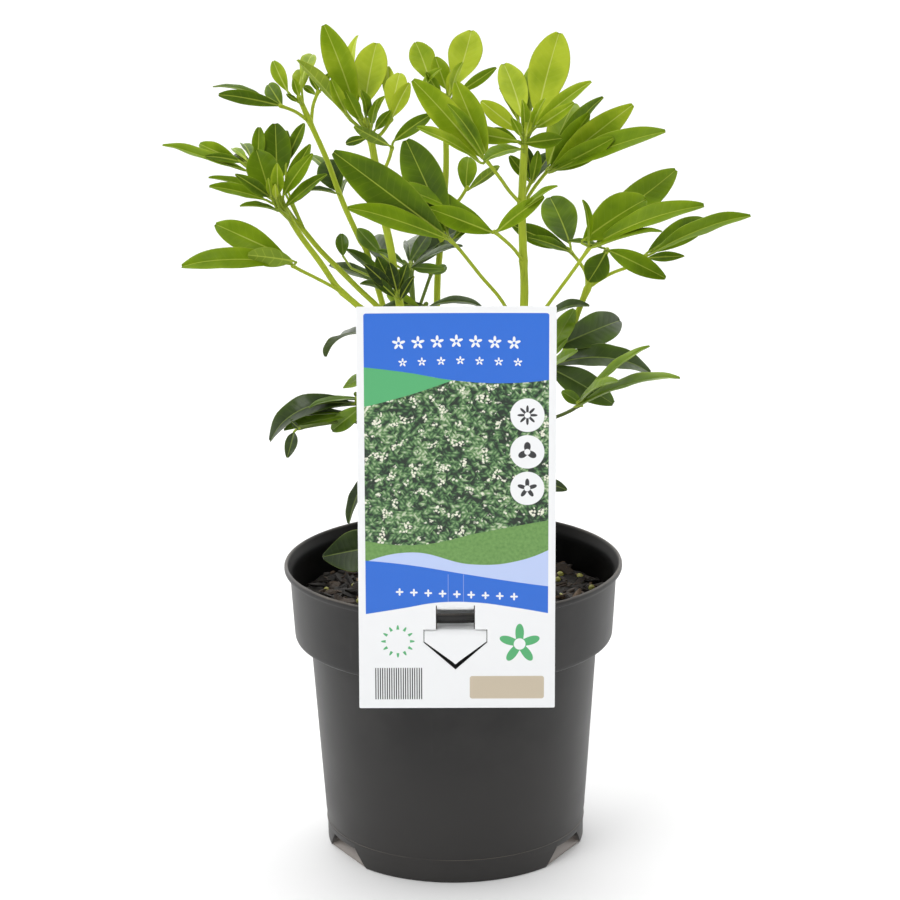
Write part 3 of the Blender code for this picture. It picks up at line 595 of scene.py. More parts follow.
@dataclass(frozen=True)
class PotFinish:
    """Moulded black plastic: faint mottling, a few rubbed streaks, painted shade and reflection that make it
    darker at the top and lighter towards the foot, painted light on the notch ramps, dust on what faces up
    that is partly painted light from above, and painted shade inside the pot."""

    name: str = "pot plastic"
    body: Colour = (0.0040, 0.0037, 0.0035)
    # painted shade and reflection: the lighter colour that the plastic goes over to towards the foot
    painted_foot_light: Colour = (0.0260, 0.0242, 0.0228)
    rubbed: Colour = (0.0225, 0.0210, 0.0200)
    # dust on what faces up, made pale enough to stand in for the light falling on it: partly painted light
    dust_and_light: Colour = (0.190, 0.165, 0.140)
    # painted light: the pale colour of the notch ramps where they catch the light
    painted_ramp_light: Colour = (0.280, 0.250, 0.228)

    def build(self) -> Material:
        """Builds the material. Dust, partly painted light from above, lies on the faces whose normal points
        up.
        """
        material, nodes, shader = new_material(self.name)
        place = nodes.place()
        mottle = nodes.noise(place, 45.0, 4.0)
        grain = nodes.noise(place, 2600.0, 2.0)
        scuff = nodes.noise(place, 260.0, 4.0, (1.0, 1.0, 0.12))
        up = nodes.add("ShaderNodeSeparateXYZ",
                       {0: nodes.add("ShaderNodeNewGeometry").outputs["Normal"]}).outputs[2]
        # dust on upward faces, partly painted light: where light from above falls, the plastic is painted
        # pale
        dusty_and_lit = nodes.times(nodes.step(up, 0.3, 0.8), nodes.step(mottle, 0.30, 0.70, 0.10, 0.55))
        height = nodes.add("ShaderNodeSeparateXYZ", {0: place}).outputs[2]
        # painted shade and reflection: darker at the top, under the label, and lighter towards the foot
        body = nodes.mix(nodes.step(height, 0.095, 0.005), self.body, self.painted_foot_light)
        skin = nodes.mix(nodes.step(mottle, 0.35, 0.70, 0.0, 0.6), body, self.rubbed)
        skin = nodes.mix(nodes.step(scuff, 0.62, 0.78, 0.0, 0.35), skin, self.rubbed)
        skin = nodes.mix(dusty_and_lit, skin, self.dust_and_light)
        # painted light on the notch ramps
        skin = nodes.mix(nodes.times(nodes.value("ramp"), 0.85), skin, self.painted_ramp_light)
        # painted shade inside the pot: darker, and less shiny, from the lip's top inwards
        within = nodes.value("within")
        skin = nodes.mix(nodes.times(within, 0.75), skin, (0.0, 0.0, 0.0))
        nodes.feed(shader.inputs["Base Color"], skin)
        nodes.feed(shader.inputs["Specular IOR Level"], nodes.scaled(within, -0.28, 0.38))
        rough = nodes.scaled(mottle, 0.16, 0.36)
        nodes.feed(shader.inputs["Roughness"], nodes.scaled(dusty_and_lit, 0.3, rough))
        nodes.feed(shader.inputs["Normal"], nodes.bump(grain, 0.25, 0.08))
        return material


@dataclass(frozen=True)
class SoilFinish:
    """Damp crumbs of peat and bark: the piece's shade picks the crumb's own brown."""

    name: str
    browns: tuple[tuple[float, Colour], ...]
    rough: float = 0.85
    relief: float = 0.9
    grain: float = 700.0

    def build(self) -> Material:
        """Builds the material from the value "shade" and two noises."""
        material, nodes, shader = new_material(self.name)
        place = nodes.place()
        crumbs = nodes.noise(place, self.grain, 5.0)
        patch = nodes.noise(place, 60.0, 2.0)
        level = nodes.scaled(nodes.plus(crumbs, patch), 0.5, -0.5)
        shade = nodes.plus(nodes.value("shade"), level, clamp=True)
        nodes.feed(shader.inputs["Base Color"], nodes.ramp(shade, list(self.browns)))
        shader.inputs["Roughness"].default_value = self.rough
        nodes.feed(shader.inputs["Normal"], nodes.bump(crumbs, 0.8, self.relief))
        return material


def panel_group() -> Tree:
    """A panel with round corners: 1 where the distance past its inner box is less than the corner."""
    group, nodes = new_group("Round panel", {"X": 0, "Z": 0, "Centre X": 0, "Centre Z": 0, "Half width": 1,
                                             "Half height": 1, "Corner": 1}, ["Mask"])
    give = nodes.add("NodeGroupInput").outputs
    past = []
    for axis, middle, half in (("X", "Centre X", "Half width"), ("Z", "Centre Z", "Half height")):
        away = nodes.maths("ABSOLUTE", nodes.minus(give[axis], give[middle]))
        inner = nodes.minus(give[half], give["Corner"])
        out = nodes.maths("MAXIMUM", nodes.minus(away, inner), 0.0)
        past.append(nodes.maths("POWER", out, 2.0))
    gap = nodes.minus(nodes.maths("SQRT", nodes.plus(*past)), give["Corner"])
    nodes.feed(nodes.add("NodeGroupOutput").inputs["Mask"], nodes.step(gap, -0.08, 0.08, 1.0, 0.0))
    return group


def blossom_group() -> Tree:
    """A flat blossom: 1 where the distance from its centre is less than
    radius (0.66 + 0.34 cos(petals * angle)), but for a round eye in its middle."""
    group, nodes = new_group("Blossom", {"X": 0, "Z": 0, "Centre X": 0, "Centre Z": 0, "Radius": 2,
                                         "Petals": 5, "Eye": 0.2}, ["Mask"])
    give = nodes.add("NodeGroupInput").outputs
    dx = nodes.minus(give["X"], give["Centre X"])
    dz = nodes.minus(give["Z"], give["Centre Z"])
    away = nodes.maths("SQRT", nodes.plus(nodes.maths("POWER", dx, 2.0), nodes.maths("POWER", dz, 2.0)))
    wave = nodes.maths("COSINE", nodes.times(nodes.maths("ARCTAN2", dx, dz), give["Petals"]))
    reach = nodes.times(nodes.scaled(wave, 0.34, 0.66), give["Radius"])
    petals = nodes.step(nodes.minus(away, reach), -0.1, 0.1, 1.0, 0.0)
    eye = nodes.minus(away, nodes.times(give["Eye"], give["Radius"]))
    nodes.feed(nodes.add("NodeGroupOutput").inputs["Mask"], nodes.times(petals, nodes.step(eye, -0.1, 0.1)))
    return group


@dataclass(frozen=True)
class PrintFinish:
    """The card's plain decoration: blue bands with wavy edges round a field of leaves and blossoms."""

    name: str = "printed card"
    white: Colour = (0.86, 0.87, 0.88)
    blue: Colour = (0.014, 0.140, 0.640)
    green: Colour = (0.085, 0.420, 0.160)
    pale: Colour = (0.50, 0.60, 0.88)
    beige: Colour = (0.560, 0.480, 0.360)
    ink: Colour = (0.025, 0.025, 0.028)
    half_width: float = 35.7
    top: float = 122.0

    def build(self) -> Material:
        """Builds the material on the card's own coordinates in mm: X across and Z up from its pivot."""
        material, nodes, shader = new_material(self.name)
        x, z = nodes.surface()
        panel, blossom = panel_group(), blossom_group()

        def placed(group: Tree, *numbers: float) -> Socket:
            """The mask of a group at numbers: centre, size and form."""
            node = nodes.add("ShaderNodeGroup", {0: x, 1: z, **dict(enumerate(numbers, 2))}, node_tree=group)
            return node.outputs[0]

        def over(line: list[Pair]) -> Socket:
            """1 above a wavy line through points in mm, 0 below it."""
            spread = [((px + 40.0) / 80.0, pz / 130.0) for px, pz in line]
            height = nodes.times(nodes.curve(x, -40.0, 40.0, spread), 130.0)
            return nodes.step(nodes.minus(z, height), -0.08, 0.08)

        def both(*masks: Socket) -> Socket:
            """The product of masks."""
            whole = masks[0]
            for mask in masks[1:]:
                whole = nodes.times(whole, mask)
            return whole

        def less(mask: Socket) -> Socket:
            """1 - mask."""
            return nodes.minus(1.0, mask)

        place = nodes.add("ShaderNodeCombineXYZ", {0: x, 1: z}).outputs[0]
        clump = nodes.noise(place, 0.085, 3.0)
        strokes = []
        for shift, turn in ((0.0, 0.6), (31.0, -0.7), (67.0, 1.5)):
            slant = nodes.add("ShaderNodeMapping", {0: place, 1: (shift, 0.0, 0.0), 2: (0.0, 0.0, turn),
                                                    3: (1.0, 2.3, 1.0)}, vector_type="TEXTURE").outputs[0]
            cells = nodes.add("ShaderNodeTexVoronoi", {"Vector": slant, "Scale": 0.85},
                              voronoi_dimensions="2D")
            chance = nodes.add("ShaderNodeSeparateColor", {0: cells.outputs["Color"]}).outputs[0]
            strokes.append(nodes.scaled(cells.outputs["Distance"], -0.9, chance))
        lit = nodes.maths("MAXIMUM", nodes.maths("MAXIMUM", strokes[0], strokes[1]), strokes[2])
        lit = nodes.plus(lit, nodes.scaled(clump, 1.1, -0.56))
        leaves = nodes.ramp(lit, [(0.02, (0.006, 0.018, 0.008)), (0.25, (0.020, 0.062, 0.022)),
                                  (0.48, (0.070, 0.180, 0.055)), (0.70, (0.200, 0.340, 0.140)),
                                  (0.88, (0.500, 0.560, 0.400))])
        florets = nodes.add("ShaderNodeTexVoronoi", {"Vector": place, "Scale": 0.9}, voronoi_dimensions="2D")
        bunch = nodes.noise(place, 0.22, 2.0)
        petal = both(nodes.step(bunch, 0.57, 0.62),
                     nodes.step(florets.outputs["Distance"], 0.30, 0.55, 1.0, 0.0))
        leaves = nodes.mix(petal, leaves, (0.80, 0.80, 0.66))
        inside = placed(panel, 0.0, (self.top + 1.6) / 2, self.half_width, (self.top - 1.6) / 2, 1.0)
        header = over([(-40, 101.5), (-20, 99.0), (0, 95.6), (20, 94.6), (40, 96.5)])
        swoosh = both(over([(-40, 84.5), (-24, 88.4), (-8, 93.4), (6, 99.0), (40, 120.0)]), less(header))
        lawn = less(over([(-40, 33.0), (-15, 30.5), (10, 35.5), (40, 41.0)]))
        ribbon = less(over([(-40, 22.0), (-18, 27.5), (6, 22.6), (24, 24.0), (40, 30.5)]))
        band = less(over([(-40, 24.6), (-20, 22.6), (5, 18.4), (25, 15.2), (40, 13.2)]))
        foot = less(over([(-40, 2.0), (-20, 5.2), (-8, 7.2), (8, 7.2), (20, 5.6), (40, 2.0)]))
        grass = nodes.mix(nodes.noise(place, 0.8), (0.070, 0.200, 0.035), (0.210, 0.400, 0.110))
        art = nodes.mix(lawn, leaves, grass)
        for area, ink in ((ribbon, self.pale), (swoosh, self.green), (header, self.blue), (band, self.blue)):
            art = nodes.mix(area, art, ink)
        for row, size in ((111.0, 2.6), (103.5, 1.7)):
            for step in range(-3, 4):
                flower = placed(blossom, step * 7.4 + (111.0 - row) * 0.2, row - abs(step) * 0.25, size,
                                5.0, 0.22)
                art = nodes.mix(flower, art, self.white)
        for row, petals in ((82.0, 8.0), (67.5, 3.0), (53.0, 5.0)):
            art = nodes.mix(placed(panel, 27.4, row, 6.6, 6.6, 6.5), art, self.white)
            art = nodes.mix(placed(blossom, 27.4, row, 3.9, petals, 0.30), art, self.ink)
        for step in range(-4, 5):
            art = nodes.mix(placed(blossom, step * 5.6, 10.6 - step * 0.25, 1.5, 4.0, 0.0), art, self.white)
        # two faint pale lines above the window: painted highlights where creases in the card catch the light
        for side in (-3.4, 2.6):
            art = nodes.mix(nodes.times(placed(panel, side, 13.0, 0.12, 5.6, 0.05), 0.25), art, self.white)
        printed = both(inside, less(foot))
        skin = nodes.mix(printed, self.white, art)
        skin = nodes.mix(placed(blossom, 24.6, -9.6, 8.2, 5.0, 0.28), skin, self.green)
        skin = nodes.mix(placed(blossom, -23.2, -8.4, 6.6, 12.0, 0.72), skin, self.green)
        skin = nodes.mix(placed(panel, 19.6, -27.2, 14.6, 4.6, 1.0), skin, self.beige)
        bars = nodes.step(nodes.maths("PINGPONG", x, 0.45), 0.20, 0.26)
        skin = nodes.mix(both(placed(panel, -23.0, -25.6, 9.4, 6.4, 0.1), bars), skin, self.ink)
        skin = nodes.mix(nodes.value("front"), self.white, skin)
        nodes.feed(shader.inputs["Base Color"], skin)
        shader.inputs["Roughness"].default_value = 0.34
        wavy = nodes.noise(nodes.place(), 55.0, 2.0)
        nodes.feed(shader.inputs["Normal"], nodes.bump(wavy, 0.25, 0.6))
        return material


@dataclass(frozen=True)
class PlainFinish:
    """One colour and roughness all over."""

    name: str
    colour: Colour
    roughness: float

    def build(self) -> Material:
        """Builds the material."""
        material, _, shader = new_material(self.name)
        shader.inputs["Base Color"].default_value = (*self.colour, 1.0)
        shader.inputs["Roughness"].default_value = self.roughness
        return material


YOUNG_LEAF = LeafFinish(
    "young leaf",
    ((0.0, (0.022, 0.038, 0.008)), (0.24, (0.042, 0.078, 0.006)), (0.44, (0.075, 0.135, 0.003)),
     (0.58, (0.130, 0.218, 0.003)), (0.76, (0.200, 0.300, 0.006)), (1.0, (0.400, 0.490, 0.026))),
    (0.440, 0.520, 0.065), (0.170, 0.240, 0.035), 0.44, 0.09)
OLD_LEAF = LeafFinish(
    "old leaf",
    ((0.0, (0.020, 0.034, 0.010)), (0.24, (0.042, 0.072, 0.012)), (0.44, (0.070, 0.130, 0.006)),
     (0.58, (0.120, 0.205, 0.008)), (0.76, (0.200, 0.300, 0.012)), (1.0, (0.360, 0.450, 0.030))),
    (0.220, 0.290, 0.060), (0.110, 0.155, 0.050), 0.32, 0.24)


# ---------------------------------------------------------------- leafy stems


@dataclass(frozen=True)
class Blade:
    """A leaflet: tip and base in the picture and width in pixels.

    ahead moves its base to the viewer in mm, reach sets how far its tip lies behind its base,
    under shows its pale underside, arch is how far it bows up as a share of its length, and age
    overrides its leaf's.
    """

    tip_x: float
    tip_y: float
    base_x: float
    base_y: float
    width: float
    ahead: float = 0.0
    reach: float | None = None
    under: bool = False
    arch: float = 0.05
    age: Age | None = None


@dataclass(frozen=True)
class Leaf:
    """A leaf: its stalk's route in the picture from the stem out, its hub's depth and its leaflets."""

    route: list[Pair]
    depth: float
    blades: list[Blade]
    age: Age | None = None


@dataclass(frozen=True)
class Stem:
    """A stem: its root in the mix, the depth of its top, its width, its route in the picture from
    the top down, the leaflets of its top, its leaves, and its leaves' usual age."""

    name: str
    root: Pair
    top_depth: float
    width: float
    route: list[Pair]
    tuft: list[Blade]
    leaves: list[Leaf]
    age: Age = Age.GROWN


@dataclass
class Placed:
    """Leaflets in space, one row each: where the stalk leaves its carrier, base, tip, real width,
    the direction that the upper face looks, bow and tone."""

    carrier: list[Array] = field(default_factory=list)
    base: list[Array] = field(default_factory=list)
    tip: list[Array] = field(default_factory=list)
    width: list[float] = field(default_factory=list)
    facing: list[Array] = field(default_factory=list)
    arch: list[float] = field(default_factory=list)
    tone: list[float] = field(default_factory=list)

    def add(self, *values: Array | float) -> None:
        """Adds one leaflet: a value for each of the lists, in their order."""
        for rows, value in zip(vars(self).values(), values):
            rows.append(value)


@dataclass
class Foliage:
    """Builds stems, leaf stalks and leaflets from their plans."""

    mix_top: float = 105.0
    ground_row: float = 597.0
    slender: float = 3.1
    slender_old: float = 3.6
    slender_young: float = 4.5
    longest: float = 58.0
    reach_limit: float = 0.9
    spread: float = 2.4
    fold: float = 0.30
    stalk_radius: float = 0.5
    stalk_drop: float = 0.6
    leaf_stalk_radius: float = 0.72
    hub_radius: float = 0.95
    root_depth: float = 12.0
    thickness: float = 0.34
    stations: int = 24
    across: tuple[float, ...] = (-1.0, -0.94, -0.76, -0.52, -0.28, -0.09, 0.0, 0.09, 0.28, 0.52, 0.76, 0.94,
                                 1.0)

    def stem_route(self, stem: Stem) -> Array:
        """From the root in the mix up through the route's points, whose depth goes over from the
        root's to the top's by height in the picture."""
        root = np.array((*stem.root, self.mix_top))
        top_row = stem.route[0][1]
        points = []
        for x, y in stem.route[::-1]:
            share = (self.ground_row - y) / (self.ground_row - top_row)
            points.append(VIEW.seen(x, y, root[1] + (stem.top_depth - root[1]) * share))
        foot = root - (unit(points[0] - root) + np.array((0, 0, 1.0))) * self.root_depth / 2
        return smooth_route(np.array([foot, root] + points), 2.6)

    def place(self, blade: Blade, line: Array, depth: float, tone: float, placed: Placed) -> None:
        """Works out where a leaflet of the table lies.

        Its real length follows from its width, so a leaflet that shows short lies aslant: its tip
        lies behind its base by the side of that triangle. Its stalk leaves its carrier lower down.

        Args:
            blade: its plan.
            line: points a millimetre apart along what carries it.
            depth: the carrier's Y in mm.
            tone: of its leaf.
            placed: where it is put.
        """
        base = VIEW.seen(blade.base_x, blade.base_y, depth - blade.ahead)
        scale = float(norm(base - VIEW.eye)) / VIEW.focal
        shown = math.hypot(blade.tip_x - blade.base_x, blade.tip_y - blade.base_y) * scale
        width = blade.width * scale
        length = min(max(shown, width * self.slender), max(shown, self.longest))
        reach = blade.reach
        if reach is None:
            reach = min(math.sqrt(max(length ** 2 - shown ** 2, 0.0)), self.reach_limit * shown)
            if (blade.tip_y < blade.base_y) == blade.under:
                reach = -reach
            reach -= self.spread * blade.ahead
        tip = VIEW.seen(blade.tip_x, blade.tip_y, base[1] + reach)
        axis = unit(tip - base)
        toward = -VIEW.axis - axis * float(-VIEW.axis @ axis)
        toward = unit(toward) * (-1.0 if blade.under else 1.0)
        tone = blade.age.value if blade.age else tone
        slender = self.slender_old if tone < Age.GROWN.value - 0.08 else self.slender_young
        real_width = max(width, float(norm(tip - base)) / slender)
        roll = math.acos(min(1.0, width / real_width))
        side = np.cross(axis, toward)
        facing = max((math.cos(roll) * toward + sign * math.sin(roll) * side for sign in (1, -1)),
                     key=lambda normal: normal[2])
        gaps = norm(line - base, axis=1)
        nearest = int(np.argmin(gaps))
        carrier = line[max(nearest - int(gaps[nearest] * self.stalk_drop), 0)]
        placed.add(carrier, base, tip, real_width, facing, blade.arch, tone)

    def blades(self, placed: Placed, draw: Draw) -> Shell:
        """All the leaflets as one loft each.

        With s from 0 at the base to 1 at the tip, the midrib is base + length s along the axis, bowed
        up by 4 arch s (1 - s) and turned down at the tip. Half the width is 0.52 W sin(pi s^1.12)^blunt.
        Across, with v from -1 to 1, the blade stands up by fold |v|^1.4, dips to the midrib and waves
        towards its rim. Rings of the stalk run before it from the carrier and go over to the blade.

        Args:
            placed: the leaflets.
            draw: random numbers for their waves, bends and twists.

        Returns:
            The shell, with the values share, rim, upper and tone, and a UV map in mm.
        """
        carrier, base, tip, width, facing, arch, tone = (np.array(rows) for rows in vars(placed).values())
        count = len(base)
        length = norm(tip - base, axis=1)
        axis = unit(tip - base)
        upward = unit(facing - axis * (facing * axis).sum(axis=1, keepdims=True))
        sideways = np.cross(axis, upward)

        grid = (1.0 - np.cos(np.linspace(0.0, math.pi, self.stations + 1))) / 2
        s = 0.45 * grid + 0.55 * np.linspace(0.0, 1.0, self.stations + 1)
        s = s[1:-1]
        bow = 4.0 * s * (1.0 - s)
        droop = ease((s - 0.72) / 0.28) ** 2
        drooping = draw.uniform(0.0, 0.035, count)
        bend = draw.uniform(-0.022, 0.022, count)
        lift = (arch + draw.uniform(-0.008, 0.012, count))[:, None] * bow - drooping[:, None] * droop
        middle = (base[:, None] + (axis * length[:, None])[:, None] * s[None, :, None]
                  + upward[:, None] * (lift * length[:, None])[..., None]
                  + sideways[:, None] * ((bend * length)[:, None] * bow)[..., None])
        t = np.array((0.0, 0.34, 0.67, 1.0))
        gap = base - carrier
        reach = norm(gap, axis=1)[:, None]
        lead = np.where(reach > 0.5, gap / np.maximum(reach, 0.5), axis)
        start, start_pull, end_pull = carrier - lead * 0.3, gap, axis * reach
        t3, t2 = t[None, :, None] ** 3, t[None, :, None] ** 2
        stalk = ((2 * t3 - 3 * t2 + 1) * start[:, None]
                 + (t3 - 2 * t2 + t[None, :, None]) * start_pull[:, None]
                 + (3 * t2 - 2 * t3) * base[:, None] + (t3 - t2) * end_pull[:, None])
        centres = np.concatenate((stalk, middle), axis=1)

        heading = unit(np.gradient(centres, axis=1) + axis[:, None] * 1e-4)
        twist = draw.uniform(-0.22, 0.22, count)[:, None] * np.concatenate((np.zeros(len(t)), s - 0.15))[None]
        up_row = (upward[:, None] * np.cos(twist)[..., None] + sideways[:, None] * np.sin(twist)[..., None])
        side = unit(np.cross(heading, up_row))
        normal = np.cross(side, heading)

        blunt = draw.uniform(0.66, 0.84, count)[:, None]
        half = 0.52 * width[:, None] * np.sin(math.pi * s[None] ** 1.12) ** blunt
        v = np.array(self.across)
        waves = draw.uniform(2.0, 3.6, (count, 2))
        starts = draw.uniform(0.0, 2 * math.pi, (count, 2))
        depth = draw.uniform(0.02, 0.075, (count, 1))
        ripple = np.stack([np.sin(2 * math.pi * waves[:, i:i + 1] * s[None] + starts[:, i:i + 1])
                           for i in (0, 1)], axis=-1)
        ripple = np.where(v[None, None] < 0, ripple[..., :1], ripple[..., 1:]) * depth[..., None]
        folding = (self.fold * draw.uniform(0.75, 1.15, count))[:, None, None]
        flat = half[..., None] * (folding * np.abs(v) ** 1.4 + ripple * np.abs(v) ** 2.2)
        off_rib = half[..., None] * v
        thick = self.thickness / 2 * (0.35 + 0.65 * (1.0 - v ** 4))
        groove = 0.30 * np.exp(-(off_rib / 0.42) ** 2)
        keel = (0.50 - 0.38 * s)[None, :, None] * np.exp(-(off_rib / 0.55) ** 2)
        top_y = flat + thick - groove
        foot_y = flat - thick - groove * 0.4 - keel
        ring_x = np.concatenate((off_rib, off_rib[..., -2:0:-1]), axis=-1)
        ring_y = np.concatenate((top_y, foot_y[..., -2:0:-1]), axis=-1)

        around = np.arccos(v)
        turn = np.concatenate((around, -around[-2:0:-1]))
        round_x, round_y = self.stalk_radius * np.cos(turn), self.stalk_radius * np.sin(turn)
        go = ease(s / 0.06)[None, :, None]
        blade_x, blade_y = (1 - go) * round_x + go * ring_x, (1 - go) * round_y + go * ring_y
        sides = ring_x.shape[-1]
        stalk_x = np.broadcast_to(round_x, (count, len(t), sides))
        stalk_y = np.broadcast_to(round_y, (count, len(t), sides))
        ring_x = np.concatenate((stalk_x, blade_x), axis=1)
        ring_y = np.concatenate((stalk_y, blade_y), axis=1)
        rings = (centres[:, :, None] + side[:, :, None] * ring_x[..., None]
                 + normal[:, :, None] * ring_y[..., None])

        shell = lofted(rings)
        shares = np.concatenate((t - 1.0 - 1e-3, s))
        rim = np.concatenate((np.abs(v), np.abs(v[-2:0:-1])))
        upper = np.concatenate((np.ones(len(v)), np.zeros(len(v) - 2)))
        rows = len(shares)

        def spread_out(ringed: Array, first: float, last: float) -> Array:
            """Values of the rings (rows, sides), then of the two ends, for every leaflet."""
            one = np.concatenate((np.broadcast_to(ringed, (rows, sides)).ravel(), (first, last)))
            return np.tile(one, count)

        shell.with_value("share", spread_out(shares[:, None], -1.0, 1.0))
        shell.with_value("rim", spread_out(rim[None], 0.0, 0.6))
        shell.with_value("upper", spread_out(upper[None], 1.0, 1.0))
        shell.with_value("tone", np.repeat(tone, rows * sides + 2))
        along = (shares[None, :, None] * length[:, None, None] * np.ones(sides)).reshape(count, -1)
        along = np.concatenate((along, -length[:, None], length[:, None]), axis=1)
        beside = np.concatenate((ring_x.reshape(count, -1), np.zeros((count, 2))), axis=1)
        shell.uv = np.stack((along.ravel(), beside.ravel()), axis=1)
        return shell

    def leaf_stalk(self, route: Array) -> Shell:
        """A leaf's stalk: a tube that thickens where it leaves the stem and at the leaflets' hub."""
        count = len(route)
        s = np.linspace(0.0, 1.0, count)
        radii = self.leaf_stalk_radius * (1.0 + 0.35 * np.exp(-(s / 0.10) ** 2))
        radii += (self.hub_radius - self.leaf_stalk_radius) * ease((s - 0.90) / 0.10)
        tail = route[-1:] + unit(route[-1:] - route[-2:-1]) * np.array([[0.5], [0.9], [1.15]])
        shrink = self.hub_radius * np.array((0.94, 0.72, 0.35))
        return tube(np.vstack((route, tail)), np.concatenate((radii, shrink)), 10, 1)

    def stem_tube(self, route: Array, width: float, knots: list[float], draw: Draw) -> Shell:
        """The stem: a tube that thins upwards, swells a little at each joint and ends round.

        Args:
            route: its centres.
            width: at its foot.
            knots: shares of its length where leaves leave it.
            draw: random numbers for its unevenness.

        Returns:
            The shell.
        """
        s = np.linspace(0.0, 1.0, len(route))
        radii = width / 2 * (1.0 - 0.28 * s)
        for knot in knots:
            radii += width * 0.07 * np.exp(-((s - knot) / 0.010) ** 2)
        radii *= 1.0 + 0.02 * np.sin(s * draw.uniform(50, 70) + draw.uniform(0, 6))
        tail = route[-1:] + unit(route[-1:] - route[-2:-1]) * np.array([[0.6], [1.0], [1.2]])
        return tube(np.vstack((route, tail)),
                    np.concatenate((radii, radii[-1] * np.array((0.85, 0.5, 0.15)))), 14, 1)

    def build(self, stem: Stem, finishes: list[Material], seed: int) -> Piece:
        """One piece of a stem with its leaf stalks and leaflets.

        Args:
            stem: its plan.
            finishes: of leaflets and of bark.
            seed: of its random numbers.

        Returns:
            The piece.
        """
        draw = np.random.default_rng(seed)
        route = self.stem_route(stem)
        line = smooth_route(route, 1.0)
        placed, shells, knots = Placed(), [], []
        for blade in stem.tuft:
            on_line = min(line, key=lambda point: float(norm(
                VIEW.seen(blade.base_x, blade.base_y, point[1]) - point)))
            self.place(blade, line, on_line[1], stem.age.value + draw.uniform(-0.07, 0.07), placed)
        for leaf in stem.leaves:
            start = leaf.route[0]
            spot = int(np.argmin([norm(VIEW.seen(*start, p[1]) - p) for p in line]))
            knots.append(spot / (len(line) - 1))
            steps = np.linspace(line[spot][1], leaf.depth, len(leaf.route))
            points = [line[spot]] + [VIEW.seen(x, y, d) for (x, y), d in zip(leaf.route[1:], steps[1:])]
            stalk = smooth_route(np.array(points), 1.6)
            shells.append(self.leaf_stalk(stalk))
            tone = (leaf.age or stem.age).value + draw.uniform(-0.05, 0.05)
            for blade in leaf.blades:
                self.place(blade, stalk[-1:], leaf.depth, tone + draw.uniform(-0.03, 0.03), placed)
        shells.append(self.stem_tube(route, stem.width, knots, draw))
        shells.append(self.blades(placed, draw))
        return mesh_object(stem.name + "_leaves", shells, finishes)

    def build_back_shoot(self, shoot: "BackShoot", finishes: list[Material]) -> Piece:
        """The shoot on the hidden side: pairs of three-part leaves up a leaning stem.

        Args:
            shoot: its sizes.
            finishes: of leaflets and of bark.

        Returns:
            The piece.
        """
        draw = random.Random(shoot.seed)
        waves = np.random.default_rng(shoot.seed)
        root, top = np.array((*shoot.root, self.mix_top)), np.array(shoot.top)
        foot = root - (unit(top - root) + np.array((0, 0, 1.0))) * self.root_depth / 2
        middle = (root + top) / 2 + np.array((0, 5.0, 0))
        coarse = smooth_route(np.array([foot, root, middle, top]), 9.0)
        placed, shells, knots = Placed(), [], []
        for pair in range(shoot.pairs):
            joint = coarse[len(coarse) - 1 - 2 * pair]
            knots.append(1.0 - 2 * pair / (len(coarse) - 1))
            for turn in (-1, 1):
                angle = math.pi / 2 + turn * (0.35 + 0.45 * (pair % 2)) + draw.uniform(-0.15, 0.15)
                out = unit(np.array((math.cos(angle), math.sin(angle), draw.uniform(0.3, 0.6))))
                hub = joint + out * shoot.stalk
                shells.append(self.leaf_stalk(smooth_route(np.array((joint, hub)), 1.6)))
                for spread in (-shoot.fan, 0.0, shoot.fan):
                    length = draw.uniform(*shoot.leaflets) * (1.0 if spread == 0.0 else shoot.side_share)
                    aim = unit(np.array((math.cos(angle + spread), math.sin(angle + spread),
                                         draw.uniform(-0.1, 0.4))))
                    facing = np.array((-0.3 * math.cos(angle), -0.3 * math.sin(angle), 1.0))
                    base = hub + aim * 1.25
                    placed.add(hub, base, base + aim * length, length / self.slender, facing, 0.10,
                               Age.DARK.value + 0.06 * spread)
        shells.append(self.stem_tube(smooth_route(np.array([foot, root, middle, top]), 2.6), shoot.width,
                                     knots, waves))
        shells.append(self.blades(placed, waves))
        return mesh_object("shoot_back_leaves", shells, finishes)


@dataclass(frozen=True)
class BackShoot:
    """Sizes of the shoot on the hidden side."""

    root: Pair = (3.0, 40.0)
    top: Place = (1.0, 60.0, 170.0)
    width: float = 2.9
    pairs: int = 3
    leaflets: Pair = (32.0, 41.0)
    side_share: float = 0.75
    fan: float = 0.9
    stalk: float = 11.0
    seed: int = 8


UNDER = True
OLD, DARK, GROWN, GREEN, YOUNG, FRESH = Age

